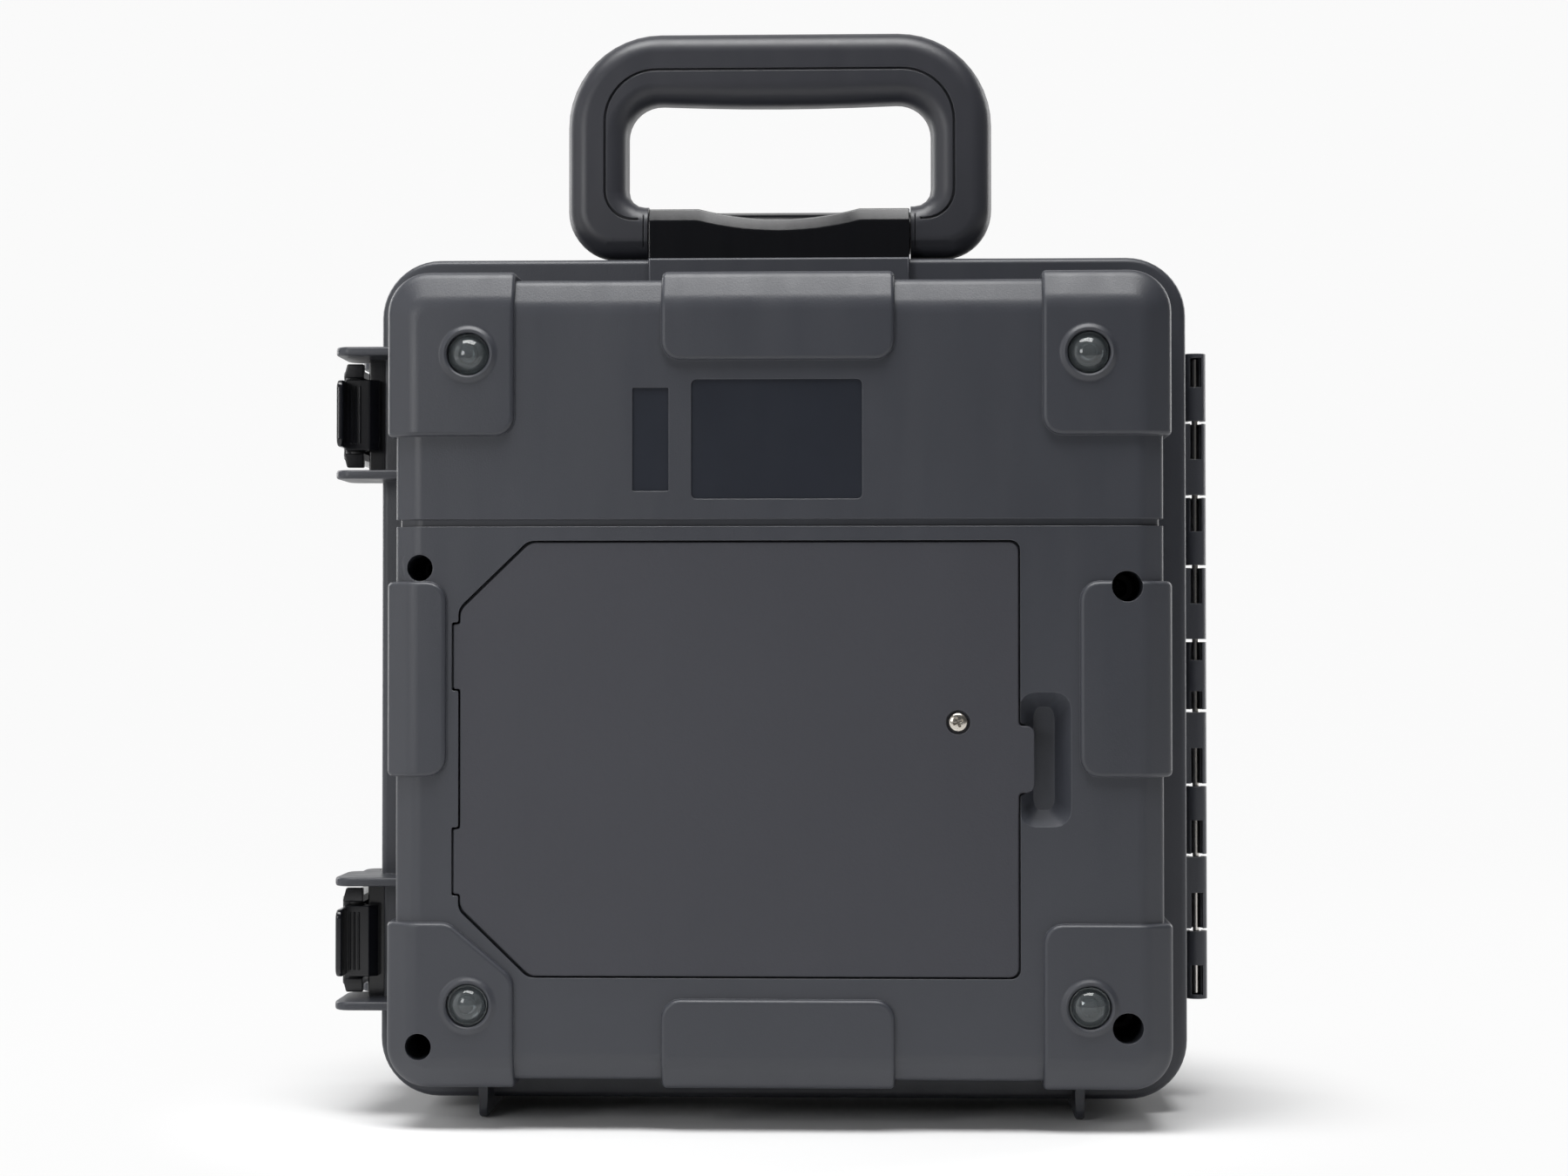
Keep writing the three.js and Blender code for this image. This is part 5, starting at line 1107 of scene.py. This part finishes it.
# Function keys: a dished rubber key with its flange and stem
key = {"width": 19, "height": 11, "corner": 2.5, "proud": 1.8, "root": 0.5, "pitch": 26, "count": 4, "z": 45,
       "flange": 1.4, "flangeThickness": 1, "stem": 2.75, "stemRoot": 0.6, "travel": 1, "dish": 0.3,
       "dishRadius": 42, "edge": 0.7}
firstKey = panel["displayX"] - (key["count"] - 1) / 2 * key["pitch"]
keyTop = panelFront + key["proud"]
flangeBack = panelBack - key["flangeThickness"]
z, width, height = key["z"], key["width"], key["height"]
cap = drawPlate("functionKey", "y", rectangle(firstKey, z, width, height, key["corner"]),
                panel["back"] - key["root"], keyTop)
roundAt(cap, keyTop, key["edge"], 4)
cut(cap, addRound("dish", "z", key["dishRadius"], (firstKey, keyTop + key["dishRadius"] - key["dish"]),
                  z - height, z + height, 256))
combine(cap, drawPlate("flange", "y", rectangle(
    firstKey, z, width + 2 * key["flange"], height + 2 * key["flange"], key["corner"] + key["flange"]),
    flangeBack, panelBack))
combine(cap, addRound("stem", "y", key["stem"], (firstKey, z), boardFace + key["travel"],
                      panel["back"] - key["stemRoot"], 24))
smoothPiece(cap)
layOut(cap, "functionKey", [(index * key["pitch"], 0) for index in range(key["count"])], lambda one, number:
       finishPiece(one, "key_%d" % number, "key_rubber", keyRubber, "function_key_%d" % number))
print("keys done")

# Test button: wide, of rubber, with a raised ring and a shallow dish. Steps are (in, down) from its top edge
test = {"x": 66, "z": 48, "radius": 13, "proud": 4, "travel": 2.5,
        "steps": ((0, 1.6), (0.25, 0.9), (0.8, 0.35), (1.6, 0), (2.3, 0), (2.9, 0.35), (5, 0.8),
                  (9, 1.05), (13, 1.15))}
top, radius = panelFront + test["proud"], test["radius"]
stemBack, flange = boardFace + test["travel"], radius + key["flange"]
button = turnPiece("testButton", [
    (0, stemBack), (panel["spindle"], stemBack), (panel["spindle"], flangeBack), (flange, flangeBack),
    (flange, panelBack), (radius, panelBack),
    *[(radius - inward, top - down) for inward, down in test["steps"]]], test["x"], test["z"], 72)
smoothPiece(button, 25)
finishPiece(button, "test_key", "test_rubber", testRubber, "test_button")
print("test button done")

# Terminal sockets: a collar, a shroud and a plated contact tube that is set back in it
socket = {"x": -66, "z": 143, "pitch": 34, "count": 3, "radius": 7, "rim": 9, "rimHeight": 1.6,
          "rimSteps": ((-0.2, 0), (0, 0.3), (-0.3, 0.9), (-1.1, 1.6)), "bore": 3.8, "lipRound": 0.5,
          "depth": 16, "boreDepth": 13, "tube": 2.7, "tubeBore": 2, "tubeBack": 2.5, "tubeEdge": 0.2,
          "tubeLead": 0.3}
x, z, edge = socket["x"], socket["z"], socket["tubeEdge"]
collar, back, inside = panelFront + seat, panelFront - socket["depth"], panelFront - socket["boreDepth"]
lip, tubeFront = collar + socket["rimHeight"], collar - socket["tubeBack"]
bore, tube, tubeBore, lipRound = socket["bore"], socket["tube"], socket["tubeBore"], socket["lipRound"]
body = turnPiece("terminalSocket", [
    (0, back), (socket["radius"], back), (socket["radius"], collar),
    *[(socket["rim"] + out, collar + up) for out, up in socket["rimSteps"]], (bore + lipRound, lip),
    (bore, lip - lipRound), (bore, inside), (tube, inside), (tube, tubeFront - edge),
    (tube - edge, tubeFront), (tubeBore + edge, tubeFront), (tubeBore, tubeFront - socket["tubeLead"]),
    (tubeBore, inside), (0, inside)], x, z)
smoothPiece(body, 25)


# The contact tube's faces are plated
def finishSocket(one, number):
    middleX = x + (number - 1) * socket["pitch"]
    finishPiece(one, "base", "socket_moulding", socketPlastic, "terminal_socket_%d" % number)
    finishFaces(one, nickel, lambda middle, normal: inside - close < middle.y < tubeFront + close
                and math.hypot(middle.x - middleX, middle.z - z) < tube + 5 * close)


layOut(body, "terminalSocket", [(index * socket["pitch"], 0) for index in range(socket["count"])],
       finishSocket)
print("sockets done")

# Raised trim on the panel: a bezel round the window, a ring round the test button and the dial's marks
bezelWidth, bezelHeight = (side + 2 * panel["bezel"] for side in panel["window"])
sightWidth, sightHeight = (side + panel["sightGap"] for side in panel["window"])
trimBack, trimFront = panelFront - panel["trimSink"], panelFront + panel["trimRise"]
display = (panel["displayX"], panel["displayZ"])
trim = drawPlate("panelTrim", "y", rectangle(*display, bezelWidth, bezelHeight, panel["bezelCorner"]),
                 trimBack, trimFront)
cut(trim, drawPlate("sight", "y", rectangle(*display, sightWidth, sightHeight, panel["sightCorner"]),
                    trimBack - sink, trimFront + sink))
roundAt(trim, trimFront, panel["trimEdge"], 3)
centre, (inner, outer) = (test["x"], test["z"]), panel["ring"]
ring = addRound("ring", "y", test["radius"] + outer, centre, trimBack, trimFront, 72)
cut(ring, addRound("ringRoom", "y", test["radius"] + inner, centre, trimBack - sink, trimFront + sink, 72))
combine(trim, roundAt(ring, trimFront, panel["trimEdge"], 3))
low, high = (knob["z"] + knob["radius"] + reach for reach in panel["markReach"])
markFront, wholeMark, halfMark = panelFront + panel["markRise"], *panel["markWidths"]
for step in range(-panel["marks"], panel["marks"] + 1):
    wide = (halfMark if step % panel["marks"] else wholeMark) / 2
    addBox("mark", (knob["x"] - wide, trimBack, low), (knob["x"] + wide, markFront, high))
    combine(trim, swivel("mark", "Y", step * panel["markAngle"], (knob["x"], 0, knob["z"])))
smoothPiece(trim)
finishPiece(trim, "base", "panel_abs", panelAbs)
finishFaces(trim, markPaint, lambda middle, normal: normal.y > 0.9 and abs(middle.y - markFront) < close)
print("panel trim done")

paint(stainless, "handle_pin", "contact_plate_left", "contact_plate_right")
paint(sealRubber, "rim_seal")
paint(panelAbs, "instrument_panel")
paint(darkAbsAndCatchShade, "battery_tray")
paint(displayGlass, "display_module")
paint(boardLaminate, "circuit_board")
paint(windowClear, "display_window")
paint(cellSleeve, *["battery_cell_%d" % (index + 1) for index in range(6)])
print("carried-over pieces painted")


# A white sweep, in metres. It keeps the contact shadow, and reads as white to the camera further out
stage = {"white": "#fcfcfc", "paper": "#efefef", "nearShare": 0, "farShare": 0.97, "nearBy": 0.115,
         "farBy": 0.2, "near": -0.75, "far": 1.7, "half": 2.6, "high": 3, "radius": 0.7, "under": 0.0002,
         "sky": 0.09}
lamps = {
    "softboxLeft": ((-0.62, -0.24, 0.3), (0, -0.02, 0.14), (0.3, 0.6), 0.55),
    "softboxFront": ((-0.47, -0.72, 0.33), (-0.06, -0.06, 0.16), (0.2, 0.27), 1.4),
    "softboxTop": ((-0.08, -0.36, 1.3), (0, -0.05, 0.15), (1.1, 0.52), 19),
    "rimLeft": ((-0.9, 0.6, 0.5), (0, 0, 0.14), (0.4, 0.9), 4.5),
    "rimRight": ((0.95, 0.7, 0.5), (0, 0, 0.14), (0.4, 0.9), 4)}


def addSweep(stage):
    clearSelection()
    bpy.ops.mesh.primitive_plane_add(size=1)
    bpy.ops.transform.resize(value=(2 * stage["half"], stage["far"] - stage["near"], 1))
    bpy.ops.transform.translate(value=(0, (stage["far"] + stage["near"]) / 2, -stage["under"]))
    sweep = settle("studioSweep")
    chooseEdges(sweep, lambda a, b, angle: min(a.y, b.y) > stage["far"] / mm / 2)
    bpy.ops.mesh.extrude_region_move(TRANSFORM_OT_translate={"value": (0, 0, stage["high"])})
    bpy.ops.object.mode_set(mode="OBJECT")
    bevelWhere(sweep, lambda a, b, angle: angle > 60, stage["radius"] / mm, 24)
    bpy.ops.object.shade_smooth()
    material, tree = newMaterial("whiteSweep")
    rays = addNode(tree, "ShaderNodeLightPath")
    seen = rays.outputs["Is Camera Ray"]
    for ray in ("Is Glossy Ray", "Is Transmission Ray"):
        seen = addNode(tree, "ShaderNodeMath", {"operation": "MAXIMUM"},
                       {0: seen, 1: rays.outputs[ray]}).outputs[0]
    place = addNode(tree, "ShaderNodeTexCoord").outputs["Object"]
    away = addNode(tree, "ShaderNodeVectorMath", {"operation": "LENGTH"}, {0: place})
    level = addNode(tree, "ShaderNodeMapRange", {
        "From Min": stage["nearBy"], "From Max": stage["farBy"], "To Min": stage["nearShare"],
        "To Max": stage["farShare"], "interpolation_type": "SMOOTHSTEP"}, {"Value": away.outputs["Value"]})
    share = addNode(tree, "ShaderNodeMath", {"operation": "MULTIPLY"}, {0: seen, 1: level.outputs[0]})
    paper = addNode(tree, "ShaderNodeBsdfDiffuse", {"Color": toLinear(stage["paper"])})
    bright = addNode(tree, "ShaderNodeEmission", {"Color": toLinear(stage["white"]), "Strength": 1})
    mixed = addNode(tree, "ShaderNodeMixShader", None,
                    {0: share.outputs[0], 1: paper.outputs[0], 2: bright.outputs[0]})
    addNode(tree, "ShaderNodeOutputMaterial", None, {"Surface": mixed.outputs[0]})
    sweep.data.materials.append(material)


def addWorld(stage):
    world = bpy.data.worlds.new("studioWorld")
    world.use_nodes = True
    tree = world.node_tree
    tree.nodes.clear()
    rays = addNode(tree, "ShaderNodeLightPath")
    level = addNode(tree, "ShaderNodeMapRange", {"To Min": stage["sky"], "To Max": 1},
                    {"Value": rays.outputs["Is Camera Ray"]})
    sky = addNode(tree, "ShaderNodeBackground", {"Color": toLinear(stage["white"])},
                  {"Strength": level.outputs[0]})
    addNode(tree, "ShaderNodeOutputWorld", None, {"Surface": sky.outputs[0]})
    bpy.context.scene.world = world


def addSoftbox(name, place, target, size, watts):
    clearSelection()
    bpy.ops.object.light_add(type="AREA", location=place)
    lamp = bpy.context.object
    lamp.name = name
    lamp.rotation_euler = (Vector(target) - Vector(place)).to_track_quat("-Z", "Y").to_euler()
    lamp.data.shape = "RECTANGLE"
    lamp.data.size, lamp.data.size_y = size
    lamp.data.energy = watts


addSweep(stage)
addWorld(stage)
for name, settings in lamps.items():
    addSoftbox(name, *settings)
bpy.context.scene.view_settings.view_transform = "Standard"
print("stage and lamps set")
